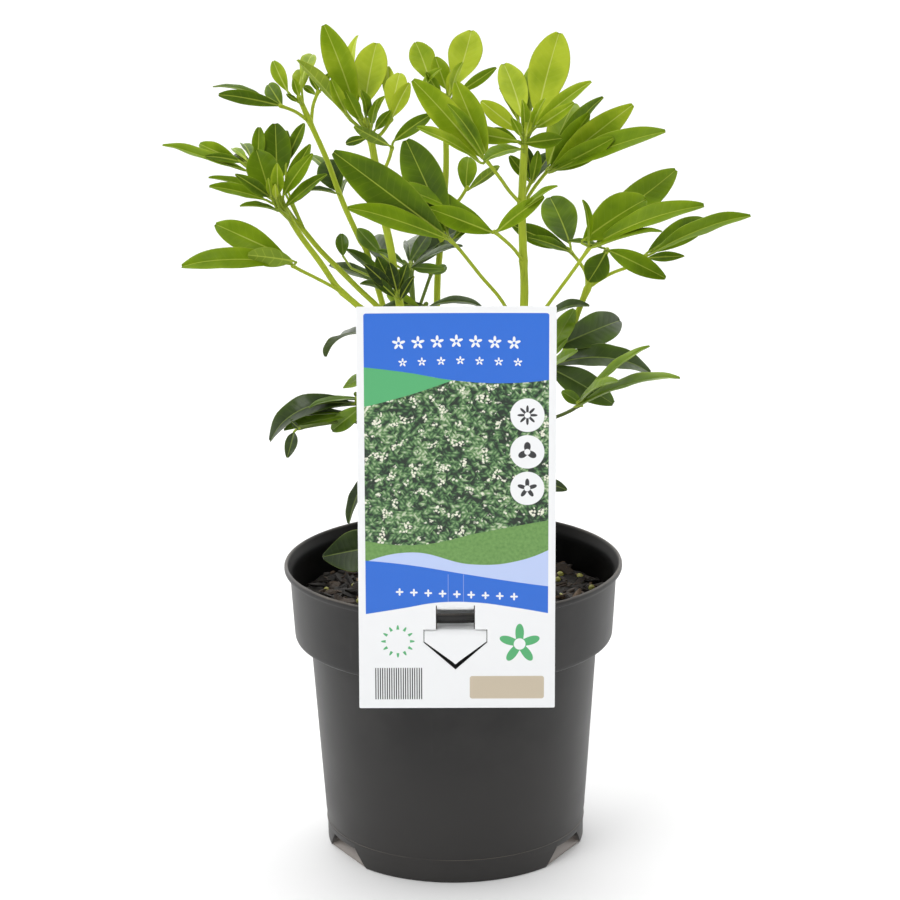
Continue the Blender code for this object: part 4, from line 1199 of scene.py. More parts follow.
STEMS: tuple[Stem, ...] = (
    Stem("stem_left", (-17, -12), -12, 3.2,
         [(284, 208), (300, 235), (320, 262), (338, 288), (358, 306), (372, 322), (392, 400)],
         [Blade(161, 142, 248, 171, 11, arch=0.0), Blade(198, 143, 238, 160, 16),
          Blade(204, 156, 245, 163, 9, age=GROWN),
          Blade(256, 149, 269, 191, 31, 5), Blade(277, 163, 278, 195, 13, 7, age=YOUNG),
          Blade(311, 143, 284, 190, 14), Blade(313, 153, 283, 196, 15, 4), Blade(207, 177, 265, 195, 8, 2),
          Blade(208, 186, 266, 200, 12, 4), Blade(235, 174, 270, 197, 13, 6, age=GROWN),
          Blade(239, 206, 280, 211, 6, 7, age=GROWN), Blade(327, 173, 284, 208, 12, 3),
          Blade(232, 148, 247, 160, 8, -4, age=YOUNG), Blade(242, 143, 251, 158, 9, -6, age=GROWN),
          Blade(233, 154, 250, 166, 9, -3, age=DARK), Blade(268, 178, 271, 197, 7, 8, -4, age=YOUNG),
          Blade(275, 184, 276, 199, 6, 9, -3, age=FRESH), Blade(311, 190, 286, 206, 8, 1, age=DARK)],
         [Leaf([(341, 292), (320, 280), (300, 270), (293, 266)], -24,
               [Blade(179, 266, 290, 264, 21, 1, arch=0.11), Blade(213, 223, 286, 256, 27, -2),
                Blade(247, 255, 293, 261, 19, 8, 3, UNDER, 0.0)], GREEN)], GREEN),
    Stem("stem_inner_left", (-19, 3), 14, 2.9,
         [(287, 213), (300, 226), (320, 250), (340, 270), (360, 290), (377, 306), (390, 322), (402, 400)],
         [Blade(259, 126, 257, 165, 13, 0, 6), Blade(275, 122, 277, 185, 30, 0, 8),
          Blade(287, 129, 281, 170, 12, -2, 8), Blade(305, 122, 286, 165, 12, 0, 12)],
         []),
    Stem("stem_upper_left", (-12, 20), 40, 3.0,
         [(299, 97), (309, 120), (327, 160), (338, 190), (347, 212), (360, 240), (370, 262), (400, 380)],
         [Blade(273, 60, 288, 92, 14, age=YOUNG), Blade(304, 68, 298, 94, 16, -3, age=YOUNG),
          Blade(313, 53, 302, 80, 15, -5, age=YOUNG), Blade(326, 160, 339, 192, 26, age=DARK),
          Blade(310, 155, 330, 174, 10, -6), Blade(347, 178, 341, 196, 8, -4, age=DARK),
          Blade(286, 94, 298, 102, 5, 2), Blade(306, 190, 337, 193, 5, 3, age=DARK),
          Blade(293, 78, 299, 97, 8, 5, -2, age=YOUNG)],
         [Leaf([(309, 122), (296, 112), (281, 106)], 34,
               [Blade(217, 94, 281, 106, 14), Blade(212, 86, 262, 96, 6, -4),
                Blade(268, 84, 282, 106, 16, -2)]),
          Leaf([(311, 124), (313, 106), (318, 92)], 46,
               [Blade(303, 86, 316, 95, 7), Blade(309, 76, 319, 92, 6), Blade(330, 72, 320, 92, 7)]),
          Leaf([(392, 352), (400, 338), (412, 330)], 58,
               [Blade(452, 318, 414, 329, 17), Blade(430, 354, 413, 333, 15),
                Blade(400, 312, 411, 328, 9, -3)])]),
    Stem("stem_thick", (-7, -3), 4, 4.0,
         [(366, 120), (372, 145), (378, 180), (384, 217), (391, 250), (398, 295), (424, 440)],
         [Blade(323, 23, 355, 108, 28, age=YOUNG), Blade(377, 41, 365, 105, 33, arch=-0.01),
          Blade(296, 58, 350, 120, 12, 3, None, UNDER),
          Blade(331, 79, 346, 112, 12, 5, age=YOUNG), Blade(357, 33, 350, 100, 12, -8),
          Blade(345, 90, 360, 120, 14, 6, age=GREEN), Blade(361, 90, 366, 118, 9, 7, age=GREEN),
          Blade(377, 101, 372, 125, 9, 7, age=GREEN), Blade(391, 110, 375, 130, 10, 5, age=GREEN),
          Blade(345, 144, 367, 138, 9, -4, age=GROWN),
          Blade(348, 60, 358, 104, 8, -4), Blade(384, 96, 373, 122, 8, 5, age=YOUNG),
          Blade(364, 264, 393, 291, 13, 3, age=OLD), Blade(377, 256, 394, 287, 15, 4, 4, age=DARK),
          Blade(389, 262, 397, 292, 13, 5, 3, age=OLD), Blade(407, 264, 398, 290, 12, 4, 5, age=DARK),
          Blade(371, 276, 396, 298, 10, 6, 2, age=DARK), Blade(414, 276, 400, 300, 9, 3, age=OLD)],
         [Leaf([(372, 140), (381, 134), (391, 120)], -2,
               [Blade(400, 72, 391, 114, 22), Blade(410, 82, 392, 118, 15, 3),
                Blade(388, 65, 392, 110, 13, -7)], FRESH),
          Leaf([(377, 178), (384, 170), (389, 159), (392, 148)], -8,
               [Blade(432, 114, 394, 141, 14), Blade(353, 126, 390, 146, 11, 5, 4, UNDER)], GROWN),
          Leaf([(414, 400), (400, 386), (389, 380)], 8,
               [Blade(364, 424, 387, 383, 16, 2), Blade(366, 352, 387, 378, 13)], DARK)], FRESH),
    Stem("stem_centre", (4, 24), 44, 3.4,
         [(445, 96), (446, 140), (446, 170), (444, 200), (440, 250), (437, 300), (438, 440)],
         [Blade(415, 41, 430, 82, 25, arch=0.0), Blade(472, 28, 455, 86, 33, arch=-0.01, age=FRESH),
          Blade(435, 56, 447, 90, 18, 4),
          Blade(441, 68, 420, 92, 7, 5), Blade(497, 67, 460, 92, 11, 3, age=GREEN),
          Blade(462, 62, 452, 92, 9, 6),
          Blade(452, 70, 449, 96, 9, 7, 2, age=FRESH), Blade(426, 72, 440, 98, 10, 5, age=GREEN)],
         [Leaf([(445, 206), (457, 202), (467, 188)], 36,
               [Blade(469, 156, 466, 190, 19), Blade(500, 165, 468, 190, 9, 3, None, UNDER)], GREEN),
          Leaf([(438, 376), (448, 360), (460, 350)], 62,
               [Blade(512, 330, 462, 349, 20), Blade(496, 374, 462, 352, 17),
                Blade(470, 316, 460, 348, 12, -3)], GROWN)], YOUNG),
    Stem("stem_tall", (8, -14), -30, 4.1,
         [(525, 135), (522, 200), (523, 250), (524, 306), (516, 400), (498, 500)],
         [Blade(560, 30, 537, 118, 39, -6, 26, arch=-0.02, age=FRESH),
          Blade(503, 62, 522, 118, 27, -2, arch=-0.01, age=FRESH),
          Blade(480, 100, 520, 132, 18, 2, age=FRESH),
          Blade(457, 131, 517, 141, 17, 2), Blade(563, 138, 524, 143, 16, 4, age=GREEN),
          Blade(484, 160, 521, 149, 15, 8, age=GREEN), Blade(592, 80, 535, 125, 15, 2),
          Blade(575, 102, 535, 128, 13, 5), Blade(545, 98, 532, 128, 9, 6), Blade(523, 100, 524, 130, 9, 5),
          Blade(499, 87, 520, 124, 9, -6), Blade(531, 110, 526, 136, 8, 8, 0, age=FRESH),
          Blade(511, 117, 521, 137, 8, 7, -1), Blade(492, 128, 519, 143, 12, 0, 4, age=GREEN),
          Blade(507, 66, 525, 112, 14, -9, age=GREEN), Blade(537, 60, 530, 116, 16, -11, age=YOUNG)],
         [Leaf([(522, 204), (510, 192), (500, 178), (486, 160)], -44,
               [Blade(411, 78, 482, 158, 28), Blade(455, 80, 487, 156, 27, 1),
                Blade(415, 127, 481, 163, 11, 5), Blade(447, 103, 484, 157, 14, 3, age=GREEN)]),
          Leaf([(523, 206), (534, 188), (548, 170)], -14,
               [Blade(576, 100, 548, 166, 30, -4), Blade(604, 95, 551, 166, 14, 0, age=GROWN),
                Blade(635, 103, 552, 168, 27, 3), Blade(615, 137, 551, 170, 20, 6, age=GREEN),
                Blade(668, 130, 552, 172, 22, 8, age=GREEN), Blade(590, 112, 550, 168, 20, 1, age=GREEN)]),
          Leaf([(522, 200), (527, 190), (531, 182)], -22,
               [Blade(509, 155, 530, 182, 12, age=GROWN), Blade(526, 146, 531, 180, 11, -2, age=DARK),
                Blade(538, 150, 532, 182, 11, 2, age=GROWN), Blade(554, 152, 534, 181, 15, -4, age=DARK)]),
          Leaf([(524, 262), (512, 247), (495, 232)], -42,
               [Blade(382, 182, 493, 232, 18, -4), Blade(428, 208, 493, 233, 22, 0),
                Blade(545, 196, 497, 232, 16, 3), Blade(558, 185, 520, 212, 6, 5)], GREEN),
          Leaf([(520, 350), (505, 306), (480, 275), (460, 250), (449, 239)], -44,
               [Blade(331, 150, 446, 236, 40, 2), Blade(405, 138, 448, 234, 38, -3, arch=0.02),
                Blade(346, 206, 446, 239, 21, 5, age=GREEN), Blade(470, 222, 452, 240, 8, -2)], GROWN),
          Leaf([(520, 352), (536, 322), (550, 302), (570, 275), (590, 247)], -46,
               [Blade(648, 198, 582, 241, 40, 3, 14), Blade(678, 168, 590, 233, 31, -7, 26),
                Blade(707, 205, 594, 245, 19, 2), Blade(663, 229, 594, 247, 8, 4),
                Blade(583, 199, 589, 243, 7, 3)], GREEN),
          Leaf([(512, 426), (494, 416), (478, 412)], 4,
               [Blade(440, 396, 475, 412, 16), Blade(462, 448, 476, 415, 14, 2)], GROWN)], YOUNG),
    Stem("stem_right", (17, 4), 0, 3.3,
         [(607, 250), (590, 283), (577, 315), (568, 345), (556, 370), (540, 430), (524, 500)],
         [Blade(667, 279, 608, 250, 20, 6, -16, age=GREEN), Blade(588, 282, 606, 252, 25, 9, -1, arch=0.0),
          Blade(567, 241, 604, 248, 6, 4)],
         [Leaf([(588, 288), (610, 274), (630, 266), (645, 256)], 8,
               [Blade(709, 220, 647, 253, 24, -3), Blade(753, 214, 649, 255, 15, 0, age=GREEN),
                Blade(685, 256, 647, 258, 10, 4)]),
          Leaf([(588, 290), (586, 274), (580, 263), (571, 252)], 16,
               [Blade(549, 195, 570, 244, 34, -3, arch=-0.01), Blade(510, 224, 568, 248, 19, 0),
                Blade(528, 237, 570, 252, 10, 4)])]),
    Stem("shoot_low_left", (-27, -8), -20, 2.7,
         [(366, 366), (366, 400), (370, 450), (380, 520)],
         [Blade(325, 357, 370, 334, 3, -8, arch=0.15), Blade(343, 388, 364, 374, 11, 3, age=GREEN),
          Blade(308, 406, 362, 399, 6, 5, arch=0.05, age=GROWN), Blade(307, 414, 364, 404, 5, 4),
          Blade(282, 429, 352, 415, 12, 12, -5, age=GROWN), Blade(331, 431, 362, 406, 18, 14, 2, age=GROWN),
          Blade(348, 525, 370, 470, 11, 4)],
         [Leaf([(366, 402), (361, 396), (356, 394)], -26,
               [Blade(268, 442, 354, 404, 21, arch=0.24), Blade(288, 418, 354, 415, 6, 2, age=DARK)]),
          Leaf([(366, 424), (348, 421), (322, 424), (299, 428)], -46,
               [Blade(287, 458, 294, 432, 12, arch=0.1), Blade(291, 421, 299, 428, 5, 2)]),
          Leaf([(374, 490), (376, 520), (381, 545)], -34,
               [Blade(322, 557, 380, 546, 40, 0, -28)])], OLD),
    Stem("shoot_low_right", (26, -10), -14, 2.9,
         [(548, 352), (546, 368), (542, 400), (534, 440), (528, 500)],
         [Blade(575, 308, 549, 352, 19, 3, age=GREEN), Blade(568, 338, 551, 357, 8, 4, age=GREEN),
          Blade(577, 350, 552, 365, 9, 7, age=GREEN), Blade(590, 305, 546, 322, 9, 4, arch=0.15),
          Blade(621, 320, 556, 347, 32, 2, arch=0.12), Blade(653, 373, 551, 366, 23, 0, arch=0.17),
          Blade(615, 405, 550, 368, 28, -2, arch=0.12)],
         [Leaf([(540, 424), (556, 417), (570, 411), (578, 406)], -34,
               [Blade(682, 375, 577, 406, 9, 7, 0), Blade(651, 344, 581, 402, 7, 6, 0),
                Blade(561, 391, 582, 405, 12, 3), Blade(618, 380, 579, 401, 7, 9)], GREEN),
          Leaf([(533, 450), (538, 470), (542, 482)], -34,
               [Blade(567, 490, 542, 482, 12, 0)])], DARK),
    Stem("shoot_low_middle", (-3, 12), 18, 2.7,
         [(404, 262), (411, 272), (413, 300), (424, 360), (440, 460)],
         [Blade(377, 250, 406, 266, 7, 4, age=GROWN), Blade(357, 228, 381, 254, 15, 2, age=GROWN),
          Blade(430, 232, 410, 262, 14, -2), Blade(463, 244, 410, 268, 6, 3),
          Blade(408, 240, 410, 265, 13, -5),
          Blade(373, 235, 389, 268, 22, -4), Blade(466, 226, 416, 266, 21, -8),
          Blade(440, 238, 414, 264, 14, -5),
          Blade(445, 269, 411, 267, 10, 3, age=GROWN), Blade(420, 233, 412, 262, 13, -7)],
         [Leaf([(412, 292), (398, 284), (384, 282)], 20,
               [Blade(346, 249, 384, 281, 11), Blade(328, 264, 382, 284, 11, -5),
                Blade(341, 233, 343, 256, 13, -8, 4, age=GROWN), Blade(360, 283, 390, 291, 8, 3)]),
          Leaf([(415, 316), (424, 294), (431, 274)], 24,
               [Blade(412, 264, 429, 273, 8, 1), Blade(447, 266, 431, 274, 9, 0)], GROWN),
          Leaf([(416, 322), (420, 310), (426, 304)], 10,
               [Blade(484, 307, 428, 307, 8, 0, arch=0.12), Blade(382, 307, 424, 305, 10, 0),
                Blade(386, 294, 422, 311, 15, 2, age=YOUNG)])], DARK),
)


# ---------------------------------------------------------------- pot


@dataclass
class NurseryPot:
    """A thin turned shell with a rolled lip, a collar, three notches with drains, and a slot.

    Each row of outer and inner is (radius, height, radius in a notch, height in a notch), and each
    row of wall is (radius, height). Angles are in degrees. third is half the turn between notches,
    fade where their squeeze begins to end and over what height, and chord the radius outside which
    and the height under which a ramp is cut back to the chord.
    """

    notch_centres: tuple[float, ...] = (90.0, 210.0, 330.0)
    notch_spread: float = 33.0
    backing_spread: float = 37.0
    notch_slant: float = 2.0
    notch_top: float = 7.0
    third: float = 60.0
    fade: Pair = (12.0, 14.0)
    chord: Pair = (50.0, 4.3)
    ramp_heights: Pair = (0.1, 4.4)
    drain_half: float = 12.0
    edge: float = 0.12
    column: float = 1.5
    slot: Pair = (262.5, 277.5)
    slot_foot: float = 112.2
    drain_rows: tuple[int, int] = (11, 14)
    drain_rows_inside: tuple[int, int] = (4, 7)

    outer: tuple[tuple[float, ...], ...] = (
        (18.0, 0.0, 18.0, 0.0), (34.0, 0.0, 34.0, 0.0), (48.0, 0.0, 48.0, 0.0), (52.4, 0.0, 52.4, 0.0),
        (53.2, 0.0, 53.1, 0.0), (53.6, 0.12, 53.4, 0.15), (53.85, 0.4, 53.3, 0.45), (54.0, 0.95, 52.97, 0.95),
        (54.02, 1.6, 52.26, 1.6), (54.04, 3.0, 50.74, 3.0), (54.06, 4.3, 49.3, 4.3),
        (54.07, 4.75, 49.0, 4.75), (54.08, 5.4, 49.0, 5.4), (54.09, 6.1, 49.0, 6.1), (54.1, 6.7, 49.0, 6.7),
        (54.105, 6.85, 49.2, 7.0), (54.11, 6.95, 51.5, 7.0), (54.115, 7.0, 53.8, 7.02),
        (54.12, 7.4, 54.12, 7.4), (54.4, 9.3, 54.4, 9.3), (54.42, 9.7, 54.42, 9.7),
        (54.34, 9.95, 54.34, 9.95), (54.14, 10.1, 54.14, 10.1), (54.16, 10.6, 54.16, 10.6))
    wall: tuple[Pair, ...] = (
        (54.67, 14.5), (55.37, 25.0), (56.11, 36.0), (56.85, 47.0), (57.59, 58.0), (58.33, 69.0),
        (59.07, 80.0), (59.57, 87.4), (59.67, 88.7), (59.95, 89.2), (60.5, 89.45), (62.5, 89.5),
        (64.4, 89.55), (65.15, 89.75), (65.7, 90.2), (65.98, 90.8), (66.12, 91.8), (66.6, 99.6),
        (67.0, 106.5), (67.33, 112.2), (67.46, 114.4), (67.58, 116.6), (67.66, 117.6), (67.85, 118.1),
        (68.4, 118.35), (69.2, 118.5), (69.7, 118.75), (69.95, 119.2), (70.0, 119.8), (69.95, 120.4),
        (69.75, 120.85), (69.4, 121.12), (69.1, 121.2), (68.8, 121.1), (68.55, 120.8), (68.2, 120.2),
        (67.75, 119.4), (67.2, 118.5), (66.75, 117.6), (66.42, 116.6), (66.26, 114.4), (66.13, 112.2),
        (65.72, 105.5), (65.3, 98.0), (65.0, 94.6), (64.3, 93.8), (61.5, 93.0), (59.3, 92.5), (58.5, 91.6),
        (57.5, 75.0), (56.1, 55.0), (54.75, 35.0), (53.4, 15.0))
    inner: tuple[tuple[float, ...], ...] = (
        (53.2, 11.6, 53.2, 11.6), (53.1, 9.6, 52.9, 8.9), (53.05, 8.4, 48.0, 8.6), (53.0, 7.2, 47.6, 8.0),
        (52.95, 6.0, 47.6, 6.7), (52.9, 5.0, 47.6, 6.1), (52.85, 4.2, 47.6, 5.4), (52.8, 3.2, 47.6, 4.75),
        (52.4, 2.1, 47.6, 3.0), (51.6, 1.65, 47.6, 1.9), (50.6, 1.6, 47.2, 1.6), (40.0, 1.6, 40.0, 1.6),
        (20.0, 1.6, 20.0, 1.6))

    def columns(self) -> tuple[Array, Array, Array]:
        """Columns round the pot, by how far they lie from their own notch.

        Returns:
            Each column's offset from the notch in degrees, its notch's angle, and 1 inside the notch.
        """
        half = self.notch_spread / 2
        offsets = np.arange(-self.third, self.third, self.column)
        offsets = offsets[np.abs(np.abs(offsets) - half) > 0.1]
        borders = [side * (half + gap) for side in (-1, 1) for gap in (-self.edge, self.edge)]
        offsets = np.sort(np.concatenate((offsets, borders)))
        centres = np.repeat(np.array(self.notch_centres), len(offsets))
        offsets = np.tile(offsets, len(self.notch_centres))
        return offsets, centres, (np.abs(offsets) < half).astype(float)

    def shell(self) -> Shell:
        """The whole wall, from the middle of the underside over the lip to the middle of the floor.

        A column's angle is its notch's plus its offset, which is squeezed so that the notch's edge
        lies at (spread - slant * height) / 2. Towards the foot the notch's ramp is cut back to the
        chord: radius cos(edge) / cos(offset). The holes leave faces out of both sides, and a strip of
        faces joins their borders through the wall.
        """
        plain_wall = np.array([(r, h, r, h) for r, h in self.wall])
        rows = np.vstack((self.outer, plain_wall, self.inner))
        spread = np.full(len(rows), self.notch_spread)
        spread[len(self.outer) + len(self.wall):] = self.backing_spread
        offsets, centres, inside = self.columns()
        height = np.where(rows[:, 1] < self.notch_top, np.maximum(rows[:, 1], rows[:, 3]), self.notch_top)
        edge = (spread - self.notch_slant * height) / 2
        fade = ease((rows[:, 1] - self.fade[0]) / self.fade[1])
        half = self.notch_spread / 2
        edge = edge * (1 - fade) + half * fade
        ratio = np.abs(offsets)[None] / half
        beyond = (np.abs(offsets)[None] - half) / (self.third - half)
        squeezed = np.where(ratio < 1.0, ratio * edge[:, None],
                            edge[:, None] + beyond * (self.third - edge[:, None]))
        angle = np.radians(centres[None] + np.sign(offsets)[None] * squeezed)
        sunk = np.clip(1.0 - height / self.chord[1], 0.0, 1.0)[:, None] * (rows[:, :1] > self.chord[0])
        sunk = sunk * (1.0 - np.cos(np.radians(edge))[:, None] / np.cos(np.radians(squeezed)))
        radius = rows[:, :1] * (1 - inside) + rows[:, 2:3] * inside * (1.0 - sunk)
        level = rows[:, 1:2] * (1 - inside) + rows[:, 3:4] * inside
        grid = np.stack((radius * np.cos(angle), radius * np.sin(angle), level * np.ones_like(angle)),
                        axis=-1)
        count, sides = grid.shape[:2]
        points = np.vstack((grid.reshape(-1, 3), [(0.0, 0.0, 0.0), (0.0, 0.0, rows[-1, 1])]))

        index = np.arange(count * sides).reshape(count, sides)
        kept = np.ones((count - 1, sides), dtype=bool)
        strips = []
        wall_start, inner_start = len(self.outer), len(self.outer) + len(self.wall)
        heights = rows[:, 1]
        slot_rows = [row for row in range(wall_start, inner_start)
                     if abs(heights[row] - self.slot_foot) < 1e-6]
        holes = [(slot_rows[0], slot_rows[0] + 2, slot_rows[1] - 2, slot_rows[1],
                  self.slot_columns(offsets, centres))]
        for centre in self.notch_centres:
            at = np.flatnonzero((centres == centre) & (np.abs(offsets) < self.drain_half + 0.1))
            high, low = (inner_start + row for row in self.drain_rows_inside)
            holes.append((*self.drain_rows, high, low, at))
        for low, high, inner_high, inner_low, at in holes:
            kept[low:high, at[:-1]] = False
            kept[inner_high:inner_low, at[:-1]] = False
            up, back = np.arange(low, high + 1), np.arange(inner_low, inner_high - 1, -1)
            ring = np.concatenate((index[low, at], index[up[1:], at[-1]], index[high, at[-2::-1]],
                                   index[up[-2:0:-1], at[0]]))
            ring_in = np.concatenate((index[inner_low, at], index[back[1:], at[-1]],
                                      index[inner_high, at[-2::-1]],
                                      index[back[-2:0:-1], at[0]]))
            strips.append(np.stack((ring, np.roll(ring, -1), np.roll(ring_in, -1), ring_in), axis=-1))
        following = np.roll(index, -1, axis=1)
        quads = np.stack((index[:-1], following[:-1], following[1:], index[1:]), axis=-1)[kept]
        start = np.stack((index[0], np.full(sides, count * sides), following[0]), axis=-1)
        end = np.stack((index[-1], following[-1], np.full(sides, count * sides + 1)), axis=-1)
        shell = Shell(points, np.vstack([quads] + strips), np.vstack((start, end)))
        # painted shade: rows from the lip's top inwards are marked to be painted darker inside the pot
        lip_top = wall_start + int(np.argmax(self.wall, axis=0)[1])
        within = np.repeat(np.clip((np.arange(count) - lip_top - 1) / 2.0, 0.0, 1.0), sides)
        # painted light: the faces of the notch ramps are marked to be painted pale
        low, high = self.ramp_heights
        ramp = (rows[:, 3] > low) & (rows[:, 3] < high) & (np.arange(count) < wall_start)
        shell = shell.with_value("within", np.concatenate((within, (0.0, 1.0))))
        return shell.with_value("ramp", np.concatenate(((ramp[:, None] * inside).ravel(), (0.0, 0.0))))

    def slot_columns(self, offsets: Array, centres: Array) -> Array:
        """The columns from one end of the slot to the other."""
        angles = centres + offsets
        return np.flatnonzero((angles > self.slot[0] - 0.1) & (angles < self.slot[1] + 0.1))

    def build(self, finish: Material) -> Piece:
        """The piece, creased where its wall turns sharply."""
        return mesh_object("nursery_pot", [self.shell()], [finish], Smooth.CREASED)


# ---------------------------------------------------------------- potting mix


@dataclass
class PottingMix:
    """The filled mix: a lumpy top with loose chips of bark, twigs and beads of feed on it.

    lumps holds (height, size, seed) of each noise, mound (height, spread squared) of the rise round
    the stems, side (radius, height) of each row from the foot up to the rim, and chip_form and
    twig_form (width, half thickness) as shares of half the length. Sizes are in mm.
    """

    top: float = 105.0
    radius: float = 65.2
    columns: int = 200
    rings: int = 60
    lumps: tuple[tuple[float, float, int], ...] = ((1.5, 17.0, 3), (0.9, 5.2, 4), (0.5, 2.2, 5))
    mound: Pair = (1.6, 900.0)
    settled: float = 0.6
    rim_dip: float = 1.4
    side: tuple[Pair, ...] = (
        (40.0, 2.0), (44.0, 5.0), (46.5, 9.5), (52.6, 13.0), (57.9, 86.0), (58.1, 91.5), (64.0, 95.5),
        (64.9, 100.0))
    chips: int = 900
    chip_sizes: Pair = (1.2, 5.5)
    chip_form: Pair = (0.55, 0.16)
    chips_to_a_twig: int = 8
    twig_sizes: Pair = (3.0, 9.0)
    twig_form: Pair = (0.16, 0.10)
    chip_skew: float = 2.2
    chip_ragged: Pair = (0.72, 1.15)
    chip_rings: tuple[float, ...] = (0.72, 1.0, 0.78)
    chip_tilts: Pair = (0.28, 0.32)
    chip_lift: float = 0.16
    beads: int = 90
    bead_sizes: Pair = (1.0, 1.6)
    bead_lift: float = 0.5
    seed: int = 21

    def level(self, x: Array, y: Array) -> Array:
        """Height of the top: three sizes of value noise, raised a little round the stems."""
        lumps = sum(height * lattice_noise(x, y, size, seed) for height, size, seed in self.lumps)
        rise, spread = self.mound
        return self.top + lumps + rise * np.exp(-(x ** 2 + y ** 2) / spread) - self.settled

    def body(self) -> Shell:
        """A turned body in the pot whose top follows level. Its foot leaves the notches room."""
        radii = np.linspace(0.0, self.radius, self.rings)[1:]
        turn = np.arange(self.columns) * 2 * math.pi / self.columns
        rows = [np.stack((r * np.cos(turn), r * np.sin(turn), np.full_like(turn, h)), axis=-1)
                for r, h in self.side]
        for radius in radii[::-1]:
            x, y = radius * np.cos(turn), radius * np.sin(turn)
            height = self.level(x, y) - self.rim_dip * ease((radius - 60.0) / 5.0)
            rows.append(np.stack((x, y, height), axis=-1))
        shell = lofted(np.array(rows)[None])
        return shell.with_value("shade", 0.30)

    def scattered(self, count: int, draw: Draw) -> Array:
        """Random places on the top, even over its area, at its height."""
        radius = (self.radius - 2.0) * np.sqrt(draw.uniform(0.0, 1.0, count))
        turn = draw.uniform(0.0, 2 * math.pi, count)
        x, y = radius * np.cos(turn), radius * np.sin(turn)
        return np.stack((x, y, self.level(x, y)), axis=-1)

    def flakes(self, count: int, sizes: Pair, slender: float, flat: float, draw: Draw) -> Shell:
        """Chips: uneven six-sided rings, three to a chip, turned at random and tipped a little.

        Args:
            count: how many.
            sizes: least and greatest half length in mm.
            slender: width over length.
            flat: thickness over length.
            draw: random numbers.

        Returns:
            The shell, with a shade for each chip.
        """
        rows, sides = len(self.chip_rings), 6
        half = draw.uniform(0.0, 1.0, count) ** self.chip_skew * (sizes[1] - sizes[0]) + sizes[0]
        turn = np.arange(sides) * 2 * math.pi / sides
        ragged = draw.uniform(*self.chip_ragged, (count, rows, sides))
        ring = np.stack((np.cos(turn), np.sin(turn) * slender, np.zeros(sides)), axis=-1)
        rings = ring[None, None] * ragged[..., None]
        rings *= np.array(self.chip_rings)[None, :, None, None]
        rings[..., 2] += np.array((-flat, 0.0, flat))[None, :, None]
        rings[..., 2] += draw.uniform(-0.05, 0.05, (count, rows, sides))
        rings *= half[:, None, None, None]
        yaw, pitch = draw.uniform(0, 2 * math.pi, count), draw.normal(0.0, self.chip_tilts[0], count)
        roll = draw.normal(0.0, self.chip_tilts[1], count)
        x, y, z = (rings[..., i] for i in range(3))
        y, z = turned(y, z, roll)
        z, x = turned(z, x, pitch)
        x, y = turned(x, y, yaw)
        rings = np.stack((x, y, z), axis=-1) + self.scattered(count, draw)[:, None, None]
        rings[..., 2] += (half * self.chip_lift)[:, None, None]
        rim = norm(rings[..., :2], axis=-1)
        rings[..., :2] *= np.minimum(1.0, (self.radius + 0.2) / rim)[..., None]
        shell = lofted(rings, 1)
        return shell.with_value("shade", np.repeat(draw.uniform(0.0, 1.0, count) ** 1.5, rows * sides + 2))

    def feed(self, draw: Draw) -> Shell:
        """Beads of slow feed: balls of 5 rings of 8 points, half sunk in the top."""
        rows, sides = 5, 8
        size = draw.uniform(*self.bead_sizes, self.beads)
        lift = np.radians(np.linspace(-70, 70, rows))
        turn = np.arange(sides) * 2 * math.pi / sides
        ball = np.stack((np.cos(lift)[:, None] * np.cos(turn), np.cos(lift)[:, None] * np.sin(turn),
                         np.repeat(np.sin(lift)[:, None], sides, axis=1)), axis=-1)
        rings = ball[None] * size[:, None, None, None] + self.scattered(self.beads, draw)[:, None, None]
        rings[..., 2] += self.bead_lift
        shell = lofted(rings, 2)
        return shell.with_value("shade", np.repeat(draw.uniform(0.0, 1.0, self.beads), rows * sides + 2))

    def build(self, finishes: list[Material]) -> list[Piece]:
        """The body, and the loose bits on it.

        Args:
            finishes: of the crumbs, of the chips and of the beads.

        Returns:
            The two pieces.
        """
        draw = np.random.default_rng(self.seed)
        body = mesh_object("mix_body", [self.body()], finishes)
        twigs = self.chips // self.chips_to_a_twig
        loose = [self.flakes(self.chips, self.chip_sizes, *self.chip_form, draw),
                 self.flakes(twigs, self.twig_sizes, *self.twig_form, draw), self.feed(draw)]
        return [body, mesh_object("mix_bark_and_feed", loose, finishes, Smooth.CREASED)]


# ---------------------------------------------------------------- hang label


